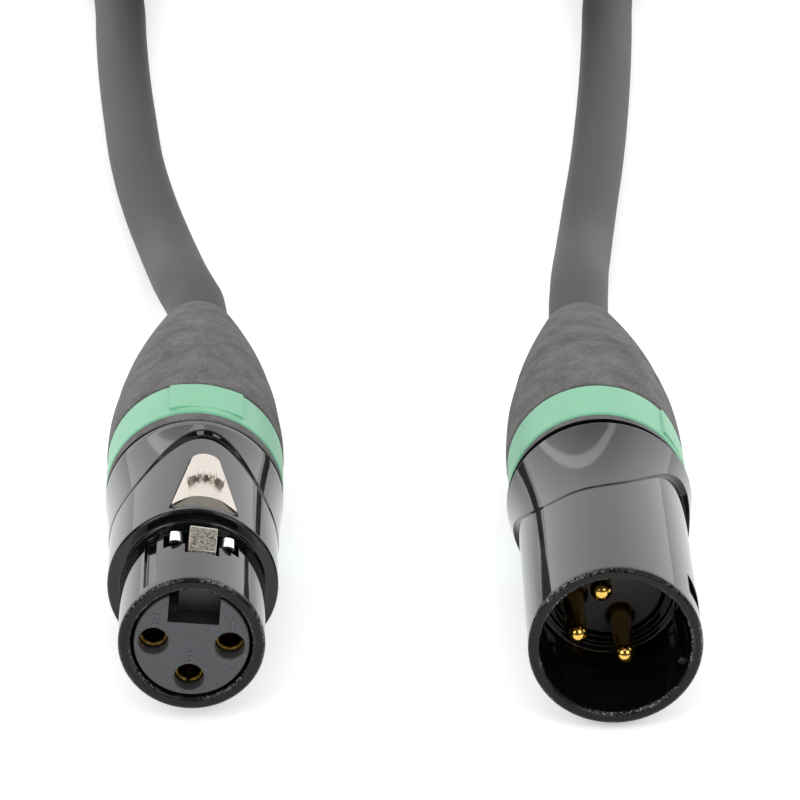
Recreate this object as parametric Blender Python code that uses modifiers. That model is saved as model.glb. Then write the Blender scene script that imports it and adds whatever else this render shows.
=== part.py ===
"""A three-pole audio cable: a female and a male connector on one cable, most of it wound into a coil.

Lengths are in metres and +Z is up. Each connector is modelled on its own axis: local +Z points out of
its front, local +Y is its key side, and "along" is the distance behind its front rim.
"""

import math
from typing import NamedTuple

import bmesh
import bpy
from mathutils import Matrix, Vector

COLLECTION_NAME = "xlr_cable_coil"

# Clearance between pieces that touch, and facets around the turned pieces
GAP = 0.0003
SHELL_FACETS = 40
FLUTES = 12
FACETS_PER_FLUTE = 3
RING_FACETS = 36
INNER_FACETS = 24
CONTACT_FACETS = 10
COIL_FACETS = 44

# Places of the connectors, both lying on their largest rings
FEMALE_X = -0.02255
FEMALE_YAW = math.radians(0.91)
FEMALE_ROLL = math.radians(9.0)
MALE_X = 0.0233
MALE_YAW = 0.0
MALE_ROLL = math.radians(71.0)
STAGGER = 0.00085  # the female connector lies this far behind the middle and the male one before it

# Die-cast shells
SHELL_RADIUS = 0.0095
SHELL_LENGTH = 0.0352
SHELL_EDGE = 0.0003
RIM_ROUNDING = 0.0004
RIM_CHAMFER = 0.0002
SEAT_ALONG = 0.0160
REAR_BORE_RADIUS = 0.0076
THREAD_ALONG = 0.0290
THREAD_RADIUS = 0.0087
FLARE_ALONG = 0.0200
ARCH_BAND = 0.0010
FEMALE_COLLAR_RADIUS = 0.0102
FEMALE_FLARE_LENGTH = 0.0140
FEMALE_ARCH_ALONG = 0.0235
FEMALE_ARCH_RUN = 0.0092
FEMALE_ARCH_POWER = 4.5
MALE_COLLAR_RADIUS = 0.0106
MALE_FLARE_LENGTH = 0.0100
MALE_ARCH_ALONG = 0.0200
MALE_ARCH_RUN = 0.0111
MALE_ARCH_POWER = 3.2
COLLAR_ROWS = 3

# Female barrel
BARREL_RADIUS = 0.0080
BARREL_WALL = 0.0014
BARREL_LENGTH = 0.0137
ROOT_FILLET = 0.0004
FLANGE_CHAMFER = 0.0004
GUIDE_ANGLE = math.radians(43.0)
GROOVE_WIDTH = 0.0013
GROOVE_DEPTH = 0.0005
GROOVE_FRONT = 0.0015

# Male cavity
CAVITY_RADIUS = 0.0082
CAVITY_DEPTH = 0.0144
LEDGE_RADIUS = 0.0064
LEDGE_STEP_RADIUS = 0.0072
LEDGE_STEP = 0.0005
GUIDE_RIB_WIDTH = 0.0009
GUIDE_RIB_HEIGHT = 0.0004
GUIDE_RIB_FRONT = 0.0030
CATCH_FRONT = 0.0032
CATCH_LENGTH = 0.0044
CATCH_WIDTH = 0.0042

# Inserts
INSERT_RECESS = 0.0003
INSERT_EDGE = 0.0002
INSERT_FLANGE_LENGTH = 0.0017
INSERT_TAIL_LENGTH = 0.0040
INSERT_TURN = math.radians(4.0)  # the female insert sits this far off the key, within its slot's play
SLOT_WIDTH = 0.0056
SLOT_FLOOR = 0.0025
BRIDGE_FRONT = 0.0033
BRIDGE_LENGTH = 0.0025
BRIDGE_SLIT = 0.0011

# Contacts
CONTACT_CIRCLE_RADIUS = 0.00415
CONTACT_ANGLES = (0.0, math.pi, -math.pi / 2)
FACE_HOLE_RADIUS = 0.0015
FACE_HOLE_DEPTH = 0.0022
PIN_RADIUS = 0.0012
PIN_TIP_ALONG = 0.0047
STEM_RADIUS = 0.00155
STEM_END = 0.0215
CUP_RADIUS = 0.0013
CUP_WALL = 0.00035
CUP_DEPTH = 0.0035
CUP_END = 0.0265
CUP_OPENING = 0.0025
SOCKET_DEPTH = 0.0140
SOCKET_SLIT = 0.0004

# Latch of the female connector; heights are above the connector's axis
PIVOT_ALONG = 0.0257
PIVOT_HEIGHT = 0.00835
PIVOT_PIN_RADIUS = 0.0004
PIVOT_HOLE_RADIUS = 0.0006
PIVOT_PIN_LENGTH = 0.0050
EYE_RADIUS = 0.0008
EYE_WIDTH = 0.0022
PAD_REAR = 0.0270
PAD_TIP_RADIUS = 0.0016
PAD_FRONT = 0.0149
PAD_HALF_WIDTH = 0.00365
PAD_FLOOR = 0.0083
PAD_RADIUS = 0.0099
PAD_CHAMFER_LENGTH = 0.0012
PAD_CHAMFER_DROP = 0.0009
RIDGE_RADIUS = 0.0022
RIDGE_WIDTH = 0.0011
RIDGE_HEIGHT = 0.0004
RIDGE_ALONG = 0.0212
RIDGE_HALF_ANGLE = math.radians(58.0)
ARM_FLOOR = 0.0053
ARM_THICKNESS = 0.0009
ARM_HEEL = 0.0164
TOOTH_FRONT = 0.0068
TOOTH_REAR = 0.0103
TOOTH_HALF_WIDTH = 0.0016
TOOTH_NOSE = 0.0080
TOOTH_HEIGHT = 0.0092

# Latch spring with its two earthing tabs
SPRING_THICKNESS = 0.00025
SPRING_HALF_WIDTH = 0.0021
SPRING_FRONT = 0.0092
SPRING_REAR = 0.0170
TAB_REAR = 0.0109
TAB_TOP = 0.0080
TAB_HALF_SPAN = 0.00355
TAB_BEND = 0.0066
TAB_WINDOW_GAP = 0.0006
TONGUE_HALF_WIDTH = 0.0012
TONGUE_ROOT = 0.0150
TONGUE_TIP = 0.0090

# Collet that grips the cable
SKIRT_WALL = 0.0006
SKIRT_END = 0.0289
FUNNEL_FRONT = 0.0270
FUNNEL_END = 0.0320
COLLET_RADIUS = 0.0068
COLLET_TIP_RADIUS = 0.0060
COLLET_TAPER_ALONG = 0.0360
COLLET_END = 0.0410
COLLET_SLOT_FRONT = 0.0335
COLLET_SLOT_WIDTH = 0.0008
COLLET_SLOTS = 3

# Boot: lip, coding ring, threaded nut and rubber sleeve
LIP_LENGTH = 0.0015
LIP_SETBACK = 0.00015
RING_LENGTH = 0.0075
RING_SETBACK = 0.0001
LABEL_RADIUS = 0.0140
LABEL_HALF_WIDTH = 0.0043
LABEL_FRONT = 0.0012
LABEL_RISE = 0.00005
NECK_START = 0.0005
NECK_WALL = 0.0013
NUT_LENGTH = 0.0144
NUT_RADIUS = 0.0103
NUT_DROP = 0.0011
NUT_CURVE = 2.2
NUT_EDGE = 0.0002
NUT_ROWS = 4
NUT_CONE_FRONT = 0.0400
NUT_CONE_END = 0.0455
NUT_THROAT_RADIUS = 0.0044
NUT_THROAT_LENGTH = 0.0025
NUT_POCKET_RADIUS = 0.0066
FLUTE_DEPTH = 0.00025
SLEEVE_LENGTH = 0.0207
SLEEVE_SETBACK = 0.00015
SLEEVE_TIP_RADIUS = 0.0046
SLEEVE_TIP_ROUNDING = 0.0003
SLEEVE_CAVITY_FRONT = 0.0025
SLEEVE_CAVITY_LENGTH = 0.0105

# Cable, its cores and its coil
CABLE_RADIUS = 0.0037
CABLE_END_ALONG = 0.0330
STRAIGHT_AFTER_BOOT = 0.0040
CORE_RADIUS = 0.00065
CORE_SPREAD = 0.0017
CORE_DEPTH_IN_CUP = 0.0010
COIL_CENTRE = Vector((-0.0025, 0.2400, 0.0))
COIL_OUTER_RADIUS = 0.0553
COIL_INNER_RADIUS = 0.0266
COIL_LAYERS = 4
TIE_WIDTH = 0.0120
TIE_THICKNESS = 0.0012
TIE_INNER_CLEARANCE = 0.0010

# Routes that the cable takes from each boot to the coil, on the surface that everything lies on
FEMALE_ROUTE = (
    (-0.0250, 0.0500, 0.0100),
    (-0.0260, 0.0562, 0.0092),
    (-0.0268, 0.0640, 0.0078),
    (-0.0279, 0.0726, 0.0059),
    (-0.0294, 0.0830, 0.0042),
    (-0.0318, 0.0965, 0.0037),
    (-0.0340, 0.1110, 0.0037),
    (-0.0357, 0.1280, 0.0037),
    (-0.0371, 0.1440, 0.0037),
    (-0.0382, 0.1600, 0.0037),
    (-0.0389, 0.1725, 0.0037),
    (-0.0397, 0.1799, 0.0037),
    (-0.0412, 0.1870, 0.0037),
    (-0.0444, 0.1985, 0.0037),
)
MALE_ROUTE = (
    (0.0236, 0.0500, 0.0104),
    (0.0240, 0.0562, 0.0096),
    (0.0245, 0.0640, 0.0080),
    (0.0252, 0.0726, 0.0060),
    (0.0261, 0.0830, 0.0042),
    (0.0275, 0.0965, 0.0037),
    (0.0291, 0.1110, 0.0037),
    (0.0307, 0.1280, 0.0037),
    (0.0320, 0.1440, 0.0037),
    (0.0331, 0.1600, 0.0037),
    (0.0339, 0.1728, 0.0040),
    (0.0347, 0.1799, 0.0049),
    (0.0362, 0.1870, 0.0062),
    (0.0394, 0.1985, 0.0087),
)
ROUTE_SPACING = 0.0110

# Stations along a connector that follow from the sizes above
LIP_FRONT = SHELL_LENGTH + GAP
RING_FRONT = LIP_FRONT + LIP_LENGTH + GAP
NUT_FRONT = RING_FRONT + RING_LENGTH + GAP
NUT_REAR = NUT_FRONT + NUT_LENGTH
SLEEVE_FRONT = NUT_REAR + GAP
SLEEVE_REAR = SLEEVE_FRONT + SLEEVE_LENGTH
INSERT_FLANGE_FRONT = SEAT_ALONG + GAP
INSERT_FLANGE_REAR = INSERT_FLANGE_FRONT + INSERT_FLANGE_LENGTH
INSERT_TAIL = INSERT_FLANGE_REAR + INSERT_TAIL_LENGTH
MALE_FACE = CAVITY_DEPTH + GAP
BARREL_BORE_RADIUS = BARREL_RADIUS - BARREL_WALL
INSERT_RADIUS = BARREL_BORE_RADIUS - GAP
FLANGE_RADIUS = REAR_BORE_RADIUS - GAP
STEM_HOLE_RADIUS = STEM_RADIUS + GAP
NECK_RADIUS = THREAD_RADIUS - GAP
LIP_RADIUS = NUT_RADIUS - LIP_SETBACK
RING_RADIUS = NUT_RADIUS - RING_SETBACK
RING_BORE_RADIUS = NECK_RADIUS + GAP
SLEEVE_RADIUS = NUT_RADIUS - NUT_DROP - SLEEVE_SETBACK
CABLE_BORE_RADIUS = CABLE_RADIUS + GAP
COIL_HEIGHT = 2 * CABLE_RADIUS * COIL_LAYERS + TIE_THICKNESS + 2 * GAP

# Planes for flat outlines: the directions of an outline's two axes and of its thickness
SIDE_PLANE = (Vector((0, 0, -1)), Vector((0, 1, 0)), Vector((1, 0, 0)))
SECTION_PLANE = (Vector((1, 0, 0)), Vector((0, 1, 0)), Vector((0, 0, 1)))
PLAN_PLANE = (Vector((1, 0, 0)), Vector((0, 0, -1)), Vector((0, 1, 0)))
COIL_PLANE = (Vector((0, 1, 0)), Vector((0, 0, 1)), Vector((1, 0, 0)))

REACH = 0.03  # how far a cutter runs past what it cuts

# Finishes: base colour, roughness, metallic
BLACK_CHROME = ((0.035, 0.035, 0.037), 0.12, 1.0)
NICKEL = ((0.66, 0.62, 0.57), 0.22, 1.0)
SPRING_STEEL = ((0.72, 0.72, 0.71), 0.25, 1.0)
GOLD = ((0.83, 0.58, 0.22), 0.25, 1.0)
SLATE_PLASTIC = ((0.055, 0.062, 0.070), 0.55, 0.0)
BLACK_PLASTIC = ((0.030, 0.030, 0.032), 0.45, 0.0)
MINT_PLASTIC = ((0.29, 0.68, 0.42), 0.42, 0.0)
GREY_RUBBER = ((0.125, 0.122, 0.122), 0.75, 0.0)
CABLE_JACKET = ((0.100, 0.097, 0.098), 0.70, 0.0)
CORE_COLOURS = (((0.50, 0.04, 0.03), 0.45, 0.0), ((0.62, 0.60, 0.56), 0.45, 0.0), ((0.06, 0.06, 0.30), 0.45, 0.0))
STRAP_FABRIC = ((0.030, 0.030, 0.033), 0.9, 0.0)


def clear_scene():
    for old in list(bpy.data.objects):
        bpy.data.objects.remove(old, do_unlink=True)


def collection(name):
    made = bpy.data.collections.new(name)
    bpy.context.scene.collection.children.link(made)
    return made


def material(name, finish):
    colour, roughness, metallic = finish
    made = bpy.data.materials.new(name)
    made.use_nodes = True
    shader = made.node_tree.nodes["Principled BSDF"]
    shader.inputs["Base Color"].default_value = (*colour, 1.0)
    shader.inputs["Roughness"].default_value = roughness
    shader.inputs["Metallic"].default_value = metallic
    return made


class Bench:
    """The two collections that the pieces and their cutters go to."""

    def __init__(self):
        self.parts = collection(COLLECTION_NAME)
        self.cutters = collection("cutters")

    def part(self, made, finish, parent=None):
        self.parts.objects.link(made)
        made.parent = parent
        made.data.materials.clear()
        made.data.materials.append(material(made.name, finish))
        return made

    def cutter(self, made, parent=None):
        self.cutters.objects.link(made)
        made.parent = parent
        made.hide_render = True
        made.display_type = "WIRE"
        return made

    def axis(self, name, location, rotation, parent=None):
        made = bpy.data.objects.new(name, None)
        made.empty_display_size = 0.01
        self.parts.objects.link(made)
        made.parent = parent
        made.location = location
        made.rotation_euler = rotation
        return made


def arc(along, radius, size, start, stop, steps):
    """Points on a circle of that size; 0 degrees points rearwards and 90 away from the axis."""
    angles = [math.radians(start + (stop - start) * i / steps) for i in range(steps + 1)]
    return [(along + size * math.cos(a), radius + size * math.sin(a)) for a in angles]


def turned(name, outline, facets):
    """An outline of (along, radius) points, front to rear on its outside, turned about local Z."""
    mesh = bpy.data.meshes.new(name)
    bm = bmesh.new()
    row = [bm.verts.new((radius, 0, -along)) for along, radius in outline]
    for first, second in zip(row, row[1:]):
        bm.edges.new((first, second))
    if outline[0][1] > 0:
        bm.edges.new((row[-1], row[0]))
    bm.to_mesh(mesh)
    bm.free()
    made = bpy.data.objects.new(name, mesh)
    screw = made.modifiers.new("Turn", "SCREW")
    screw.steps = screw.render_steps = facets
    screw.use_merge_vertices = True
    screw.merge_threshold = 0.00001
    return made


def as_mesh(made, weld=0.000001):
    """The object's evaluated shape as a plain mesh, welded and facing out."""
    holder = bpy.context.scene.collection
    linked = made.users_collection
    if not linked:
        holder.objects.link(made)
    bpy.context.view_layer.update()
    graph = bpy.context.evaluated_depsgraph_get()
    mesh = bpy.data.meshes.new_from_object(made.evaluated_get(graph))
    bm = bmesh.new()
    bm.from_mesh(mesh)
    bmesh.ops.remove_doubles(bm, verts=bm.verts, dist=weld)
    bmesh.ops.recalc_face_normals(bm, faces=bm.faces)
    bm.to_mesh(mesh)
    bm.free()
    name = made.name
    shown = bpy.data.objects.new(name, mesh)
    bpy.data.objects.remove(made, do_unlink=True)
    shown.name = name
    return shown


def prism(name, outlines, low, high, plane):
    """Flat outlines, the later ones holes in the first, as thick as low to high along the plane's normal."""
    curve = bpy.data.curves.new(name, "CURVE")
    curve.dimensions = "2D"
    curve.fill_mode = "BOTH"
    curve.extrude = (high - low) / 2
    for outline in outlines:
        spline = curve.splines.new("POLY")
        spline.points.add(len(outline) - 1)
        for point, (u, v) in zip(spline.points, outline):
            point.co = (u, v, 0, 1)
        spline.use_cyclic_u = True
    made = as_mesh(bpy.data.objects.new(name, curve))
    u_axis, v_axis, normal = plane
    turn = Matrix((u_axis, v_axis, normal)).transposed().to_4x4()
    made.data.transform(turn @ Matrix.Translation((0, 0, (low + high) / 2)))
    return made


def rectangle(u_low, u_high, v_low, v_high):
    return [(u_low, v_low), (u_high, v_low), (u_high, v_high), (u_low, v_high)]


def rounded_rectangle(u_low, u_high, v_low, v_high, size, steps):
    corners = (
        (u_high - size, v_low + size, -90),
        (u_high - size, v_high - size, 0),
        (u_low + size, v_high - size, 90),
        (u_low + size, v_low + size, 180),
    )
    return [point for u, v, start in corners for point in arc(u, v, size, start, start + 90, steps)]


def boolean(made, other, operation):
    modifier = made.modifiers.new(other.name, "BOOLEAN")
    modifier.operation = operation
    modifier.object = other
    modifier.solver = "EXACT"


def shade_round(made):
    made.data.shade_smooth()
    made.data.set_sharp_from_angle(angle=math.radians(35))


def smoothstep(share):
    share = min(1.0, max(0.0, share))
    return share * share * (3 - 2 * share)


# Shells


class Collar(NamedTuple):
    """The flared rear of a shell, and the arch that its front edge makes on the key side and its opposite."""

    radius: float
    flare_length: float
    arch_along: float
    arch_run: float
    arch_power: float

    def radius_at(self, along):
        share = smoothstep((along - FLARE_ALONG) / self.flare_length)
        return SHELL_RADIUS + (self.radius - SHELL_RADIUS) * share

    def front_at(self, angle):
        return self.arch_along + self.arch_run * abs(math.cos(angle)) ** self.arch_power


def collar_stations():
    """Rows of the collar before it is arched: two for the band in front of the step, then evenly spaced ones."""
    rows = [FLARE_ALONG - ARCH_BAND, FLARE_ALONG - 0.3 * ARCH_BAND]
    length = SHELL_LENGTH - SHELL_EDGE - FLARE_ALONG
    return rows + [FLARE_ALONG + length * i / COLLAR_ROWS for i in range(COLLAR_ROWS + 1)]


def collar_outline(collar):
    rows = [(along, collar.radius_at(along)) for along in collar_stations()]
    return rows + [(SHELL_LENGTH, collar.radius - SHELL_EDGE)]


def rear_bore_outline():
    return [
        (SHELL_LENGTH, THREAD_RADIUS),
        (THREAD_ALONG, THREAD_RADIUS),
        (THREAD_ALONG, REAR_BORE_RADIUS),
        (SEAT_ALONG, REAR_BORE_RADIUS),
    ]


def arch_step(made, collar):
    """Bends the collar's front into its arch, with a step at its edge."""
    stations = collar_stations()
    collar_end = stations[-1]
    tiny = 0.00002
    for vertex in made.data.vertices:
        along, radius = -vertex.co.z, vertex.co.xy.length
        if radius < SHELL_RADIUS - tiny or not stations[0] - tiny < along < collar_end - tiny:
            continue
        angle = math.atan2(vertex.co.x, vertex.co.y)
        front = collar.front_at(angle)
        if along < FLARE_ALONG - tiny:
            rise = 0.2 if along > stations[0] + tiny else 0.0
            new_along = front - (FLARE_ALONG - along)
            new_radius = SHELL_RADIUS + rise * (collar.radius_at(front) - SHELL_RADIUS)
        else:
            share = (along - FLARE_ALONG) / (collar_end - FLARE_ALONG)
            new_along = front + share * (collar_end - front)
            new_radius = collar.radius_at(new_along)
        vertex.co = (new_radius * math.sin(angle), new_radius * math.cos(angle), -new_along)


def shell(bench, name, outline, parent, collar):
    made = as_mesh(turned(name, outline, SHELL_FACETS))
    arch_step(made, collar)
    bench.part(made, BLACK_CHROME, parent)
    shade_round(made)
    return made


def female_shell(bench, parent):
    flange = BARREL_LENGTH
    collar = Collar(
        FEMALE_COLLAR_RADIUS, FEMALE_FLARE_LENGTH, FEMALE_ARCH_ALONG, FEMALE_ARCH_RUN, FEMALE_ARCH_POWER
    )
    outline = (
        [(0, BARREL_BORE_RADIUS + RIM_CHAMFER)]
        + arc(RIM_ROUNDING, BARREL_RADIUS - RIM_ROUNDING, RIM_ROUNDING, 180, 90, 2)
        + [
            (flange - ROOT_FILLET, BARREL_RADIUS),
            (flange, BARREL_RADIUS + ROOT_FILLET),
            (flange, SHELL_RADIUS - FLANGE_CHAMFER),
            (flange + FLANGE_CHAMFER, SHELL_RADIUS),
        ]
        + collar_outline(collar)
        + rear_bore_outline()
        + [(SEAT_ALONG, BARREL_BORE_RADIUS), (RIM_CHAMFER, BARREL_BORE_RADIUS)]
    )
    made = shell(bench, "female_shell", outline, parent, collar)
    cutters = (
        prism("latch_pocket", [pad_outline(GAP)], ARM_FLOOR, REACH, PLAN_PLANE),
        prism("latch_window", [latch_window_outline()], ARM_FLOOR, REACH, PLAN_PLANE),
        pivot_cylinder("pivot_bore", PIVOT_HOLE_RADIUS, PIVOT_PIN_LENGTH + 2 * GAP),
        guide_groove(),
    )
    for cutter in cutters:
        boolean(made, bench.cutter(cutter, parent), "DIFFERENCE")
    return made


def latch_window_outline():
    """The opening in the barrel for the tooth, widened behind it for the two earthing tabs."""
    tooth = TOOTH_HALF_WIDTH + GAP
    tabs = TAB_HALF_SPAN + TAB_WINDOW_GAP
    front = TOOTH_FRONT - GAP
    rear = TAB_REAR + TAB_WINDOW_GAP
    tab_front = SPRING_FRONT - TAB_WINDOW_GAP
    half = [(tooth, front), (tooth, tab_front), (tabs, tab_front), (tabs, rear)]
    return half + [(-x, along) for x, along in reversed(half)]


def guide_groove():
    made = prism(
        "guide_groove",
        [rectangle(-GROOVE_WIDTH / 2, GROOVE_WIDTH / 2, BARREL_RADIUS - GROOVE_DEPTH, SHELL_RADIUS - ROOT_FILLET)],
        -(BARREL_LENGTH - GAP),
        -GROOVE_FRONT,
        SECTION_PLANE,
    )
    made.rotation_euler.z = GUIDE_ANGLE
    return made


def male_shell(bench, parent):
    collar = Collar(MALE_COLLAR_RADIUS, MALE_FLARE_LENGTH, MALE_ARCH_ALONG, MALE_ARCH_RUN, MALE_ARCH_POWER)
    outline = (
        [(0, CAVITY_RADIUS + RIM_CHAMFER)]
        + arc(RIM_ROUNDING, SHELL_RADIUS - RIM_ROUNDING, RIM_ROUNDING, 180, 90, 2)
        + collar_outline(collar)
        + rear_bore_outline()
        + [
            (SEAT_ALONG, LEDGE_RADIUS),
            (CAVITY_DEPTH, LEDGE_RADIUS),
            (CAVITY_DEPTH, LEDGE_STEP_RADIUS),
            (CAVITY_DEPTH - LEDGE_STEP, LEDGE_STEP_RADIUS + RIM_CHAMFER),
            (CAVITY_DEPTH - LEDGE_STEP, CAVITY_RADIUS),
            (RIM_CHAMFER, CAVITY_RADIUS),
        ]
    )
    made = shell(bench, "male_shell", outline, parent, collar)
    catch = rectangle(-CATCH_WIDTH / 2, CATCH_WIDTH / 2, CATCH_FRONT, CATCH_FRONT + CATCH_LENGTH)
    boolean(made, bench.cutter(prism("catch_window", [catch], LEDGE_RADIUS, REACH, PLAN_PLANE), parent), "DIFFERENCE")
    boolean(made, bench.cutter(guide_rib(), parent), "UNION")
    return made


def guide_rib():
    """The rib inside the male shell that runs in the barrel's guide groove."""
    made = prism(
        "guide_rib",
        [
            rectangle(
                -GUIDE_RIB_WIDTH / 2,
                GUIDE_RIB_WIDTH / 2,
                CAVITY_RADIUS - GUIDE_RIB_HEIGHT,
                (CAVITY_RADIUS + SHELL_RADIUS) / 2,
            )
        ],
        -(CAVITY_DEPTH + GAP),
        -GUIDE_RIB_FRONT,
        SECTION_PLANE,
    )
    made.rotation_euler.z = -GUIDE_ANGLE
    return made


# Inserts and contacts


def contact_places():
    return [
        (CONTACT_CIRCLE_RADIUS * math.cos(a), CONTACT_CIRCLE_RADIUS * math.sin(a), 0.0) for a in CONTACT_ANGLES
    ]


def contact_holes(bench, made, face, parent):
    hole = [
        (face - REACH, 0),
        (face - REACH, FACE_HOLE_RADIUS),
        (face + FACE_HOLE_DEPTH, FACE_HOLE_RADIUS),
        (face + FACE_HOLE_DEPTH, STEM_HOLE_RADIUS),
        (INSERT_TAIL + GAP, STEM_HOLE_RADIUS),
        (INSERT_TAIL + GAP, 0),
    ]
    for number, place in enumerate(contact_places(), 1):
        cutter = as_mesh(turned(f"{made.name}_hole_{number}", hole, CONTACT_FACETS))
        cutter.location = place
        boolean(made, bench.cutter(cutter, parent), "DIFFERENCE")


def insert_rear_outline(front_radius):
    return [
        (INSERT_FLANGE_FRONT, front_radius),
        (INSERT_FLANGE_FRONT, FLANGE_RADIUS),
        (INSERT_FLANGE_REAR, FLANGE_RADIUS),
        (INSERT_FLANGE_REAR, INSERT_RADIUS),
        (INSERT_TAIL, INSERT_RADIUS),
        (INSERT_TAIL, 0),
    ]


def female_insert(bench, parent):
    face = INSERT_RECESS
    outline = [(face, 0), (face, INSERT_RADIUS - INSERT_EDGE), (face + INSERT_EDGE, INSERT_RADIUS)]
    made = as_mesh(turned("female_insert", outline + insert_rear_outline(INSERT_RADIUS), INNER_FACETS))
    bench.part(made, SLATE_PLASTIC, parent)
    shade_round(made)
    slot = SLOT_WIDTH / 2
    bridge_rear = BRIDGE_FRONT + BRIDGE_LENGTH
    slot_rear = INSERT_FLANGE_REAR + GAP
    outline = [
        (-slot, face - REACH),
        (slot, face - REACH),
        (slot, BRIDGE_FRONT),
        (BRIDGE_SLIT - slot, BRIDGE_FRONT),
        (BRIDGE_SLIT - slot, bridge_rear),
        (slot, bridge_rear),
        (slot, slot_rear),
        (-slot, slot_rear),
    ]
    boolean(made, bench.cutter(prism("key_slot", [outline], SLOT_FLOOR, REACH, PLAN_PLANE), parent), "DIFFERENCE")
    contact_holes(bench, made, face, parent)
    return made


def male_insert(bench, parent):
    face = MALE_FACE
    radius = LEDGE_RADIUS - GAP
    outline = [(face, 0), (face, radius - INSERT_EDGE), (face + INSERT_EDGE, radius)]
    made = as_mesh(turned("male_insert", outline + insert_rear_outline(radius), INNER_FACETS))
    bench.part(made, SLATE_PLASTIC, parent)
    shade_round(made)
    contact_holes(bench, made, face, parent)
    return made


def cup_outline():
    """The solder cup at a contact's rear, down its outside and back up its bore."""
    return [
        (STEM_END, STEM_RADIUS),
        (STEM_END, CUP_RADIUS),
        (CUP_END, CUP_RADIUS),
        (CUP_END, CUP_RADIUS - CUP_WALL),
        (CUP_END - CUP_DEPTH, CUP_RADIUS - CUP_WALL),
        (CUP_END - CUP_DEPTH, 0),
    ]


def open_cup(bench, made, parent):
    outline = rectangle(CUP_END - CUP_OPENING, CUP_END + REACH, 0, REACH)
    boolean(made, bench.cutter(prism(f"{made.name}_opening", [outline], -REACH, REACH, SIDE_PLANE), parent), "DIFFERENCE")


def copies(bench, made, stem, parent):
    """One contact at each place, turned so that its solder cup opens away from the axis."""
    bpy.context.view_layer.update()
    model = as_mesh(made)
    for number, (place, angle) in enumerate(zip(contact_places(), CONTACT_ANGLES), 1):
        contact = bpy.data.objects.new(f"{stem}_{number}", model.data.copy())
        contact.location = place
        contact.rotation_euler.z = angle - math.pi / 2
        bench.part(contact, GOLD, parent)
        shade_round(contact)
    bpy.data.objects.remove(model, do_unlink=True)


def female_contacts(bench, parent):
    front = INSERT_RECESS + FACE_HOLE_DEPTH + GAP
    outline = [(front, PIN_RADIUS), (front, STEM_RADIUS)] + cup_outline()
    outline += [(front + SOCKET_DEPTH, 0), (front + SOCKET_DEPTH, PIN_RADIUS)]
    made = as_mesh(socket_turned("socket_contact", outline))
    bench.cutters.objects.link(made)
    open_cup(bench, made, None)
    slit = rectangle(front - REACH, front + SOCKET_DEPTH, 0, REACH)
    cutter = prism("socket_slit", [slit], -SOCKET_SLIT / 2, SOCKET_SLIT / 2, SIDE_PLANE)
    boolean(made, bench.cutter(cutter), "DIFFERENCE")
    copies(bench, made, "female_contact", parent)


def socket_turned(name, outline):
    """A turned piece with a blind bore at each end: its outline crosses the axis once on each side."""
    split = next(i for i, (_, radius) in enumerate(outline) if radius == 0)
    return turned(name, outline[split + 1 :] + outline[: split + 1], CONTACT_FACETS)


def male_contacts(bench, parent):
    tip = arc(PIN_TIP_ALONG + PIN_RADIUS, 0, PIN_RADIUS, 180, 90, 3)
    tip[0] = (PIN_TIP_ALONG, 0)
    shoulder = MALE_FACE + FACE_HOLE_DEPTH + GAP
    outline = tip + [(shoulder, PIN_RADIUS), (shoulder, STEM_RADIUS)] + cup_outline()
    made = as_mesh(turned("pin_contact", outline, CONTACT_FACETS))
    bench.cutters.objects.link(made)
    open_cup(bench, made, None)
    copies(bench, made, "male_pin", parent)


# Latch


def pad_outline(margin):
    """Teardrop seen from above, as (x, along): round at its rear tip and widest at its front."""
    tip = PAD_TIP_RADIUS + margin
    centre = PAD_REAR - PAD_TIP_RADIUS
    front = PAD_FRONT - margin
    half = PAD_HALF_WIDTH + margin
    lean = math.degrees(math.atan2(half - tip, centre - front))
    rear = [(radius, along) for along, radius in arc(centre, 0, tip, 90 + lean - 6, 0, 5)]
    right = [(half, front)] + rear
    return right + [(-x, along) for x, along in reversed(right[:-1])]


def pivot_cylinder(name, radius, length):
    made = as_mesh(turned(name, [(-length / 2, 0), (-length / 2, radius), (length / 2, radius), (length / 2, 0)], 16))
    made.data.transform(Matrix.Rotation(math.pi / 2, 4, "Y"))
    made.data.transform(Matrix.Translation((0, PIVOT_HEIGHT, -PIVOT_ALONG)))
    return made


def thumb_ridge():
    """A crescent that stands out of the pad, as thick as the wall below it lets it sink in."""
    centre = RIDGE_ALONG - RIDGE_RADIUS
    outer = [
        (across, along)
        for along, across in arc(centre, 0, RIDGE_RADIUS + RIDGE_WIDTH / 2, *ridge_span(), 8)
    ]
    inner = [
        (across, along)
        for along, across in arc(centre, 0, RIDGE_RADIUS - RIDGE_WIDTH / 2, *ridge_span(), 8)
    ]
    return prism("thumb_ridge", [outer + inner[::-1]], PAD_FLOOR + GAP, PAD_RADIUS + RIDGE_HEIGHT, PLAN_PLANE)


def ridge_span():
    half = math.degrees(RIDGE_HALF_ANGLE)
    return half, -half


def latch_pad(bench):
    """The pad that the thumb presses: a teardrop plate whose top follows the shell round, chamfered in front."""
    front, rear = PAD_FRONT, PAD_REAR
    side = [
        (front, PAD_FLOOR),
        (rear, PAD_FLOOR),
        (rear, PAD_RADIUS + GAP),
        (front + PAD_CHAMFER_LENGTH, PAD_RADIUS),
        (front, PAD_RADIUS - PAD_CHAMFER_DROP),
    ]
    made = prism("latch_pad", [side], -PAD_HALF_WIDTH - GAP, PAD_HALF_WIDTH + GAP, SIDE_PLANE)
    teardrop = prism("pad_teardrop", [pad_outline(0)], 0, REACH, PLAN_PLANE)
    crown = as_mesh(turned("pad_crown", [(0, 0), (0, PAD_RADIUS), (REACH, PAD_RADIUS), (REACH, 0)], SHELL_FACETS))
    boolean(made, bench.cutter(teardrop), "INTERSECT")
    boolean(made, bench.cutter(crown), "INTERSECT")
    return bench.cutter(made)


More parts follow.
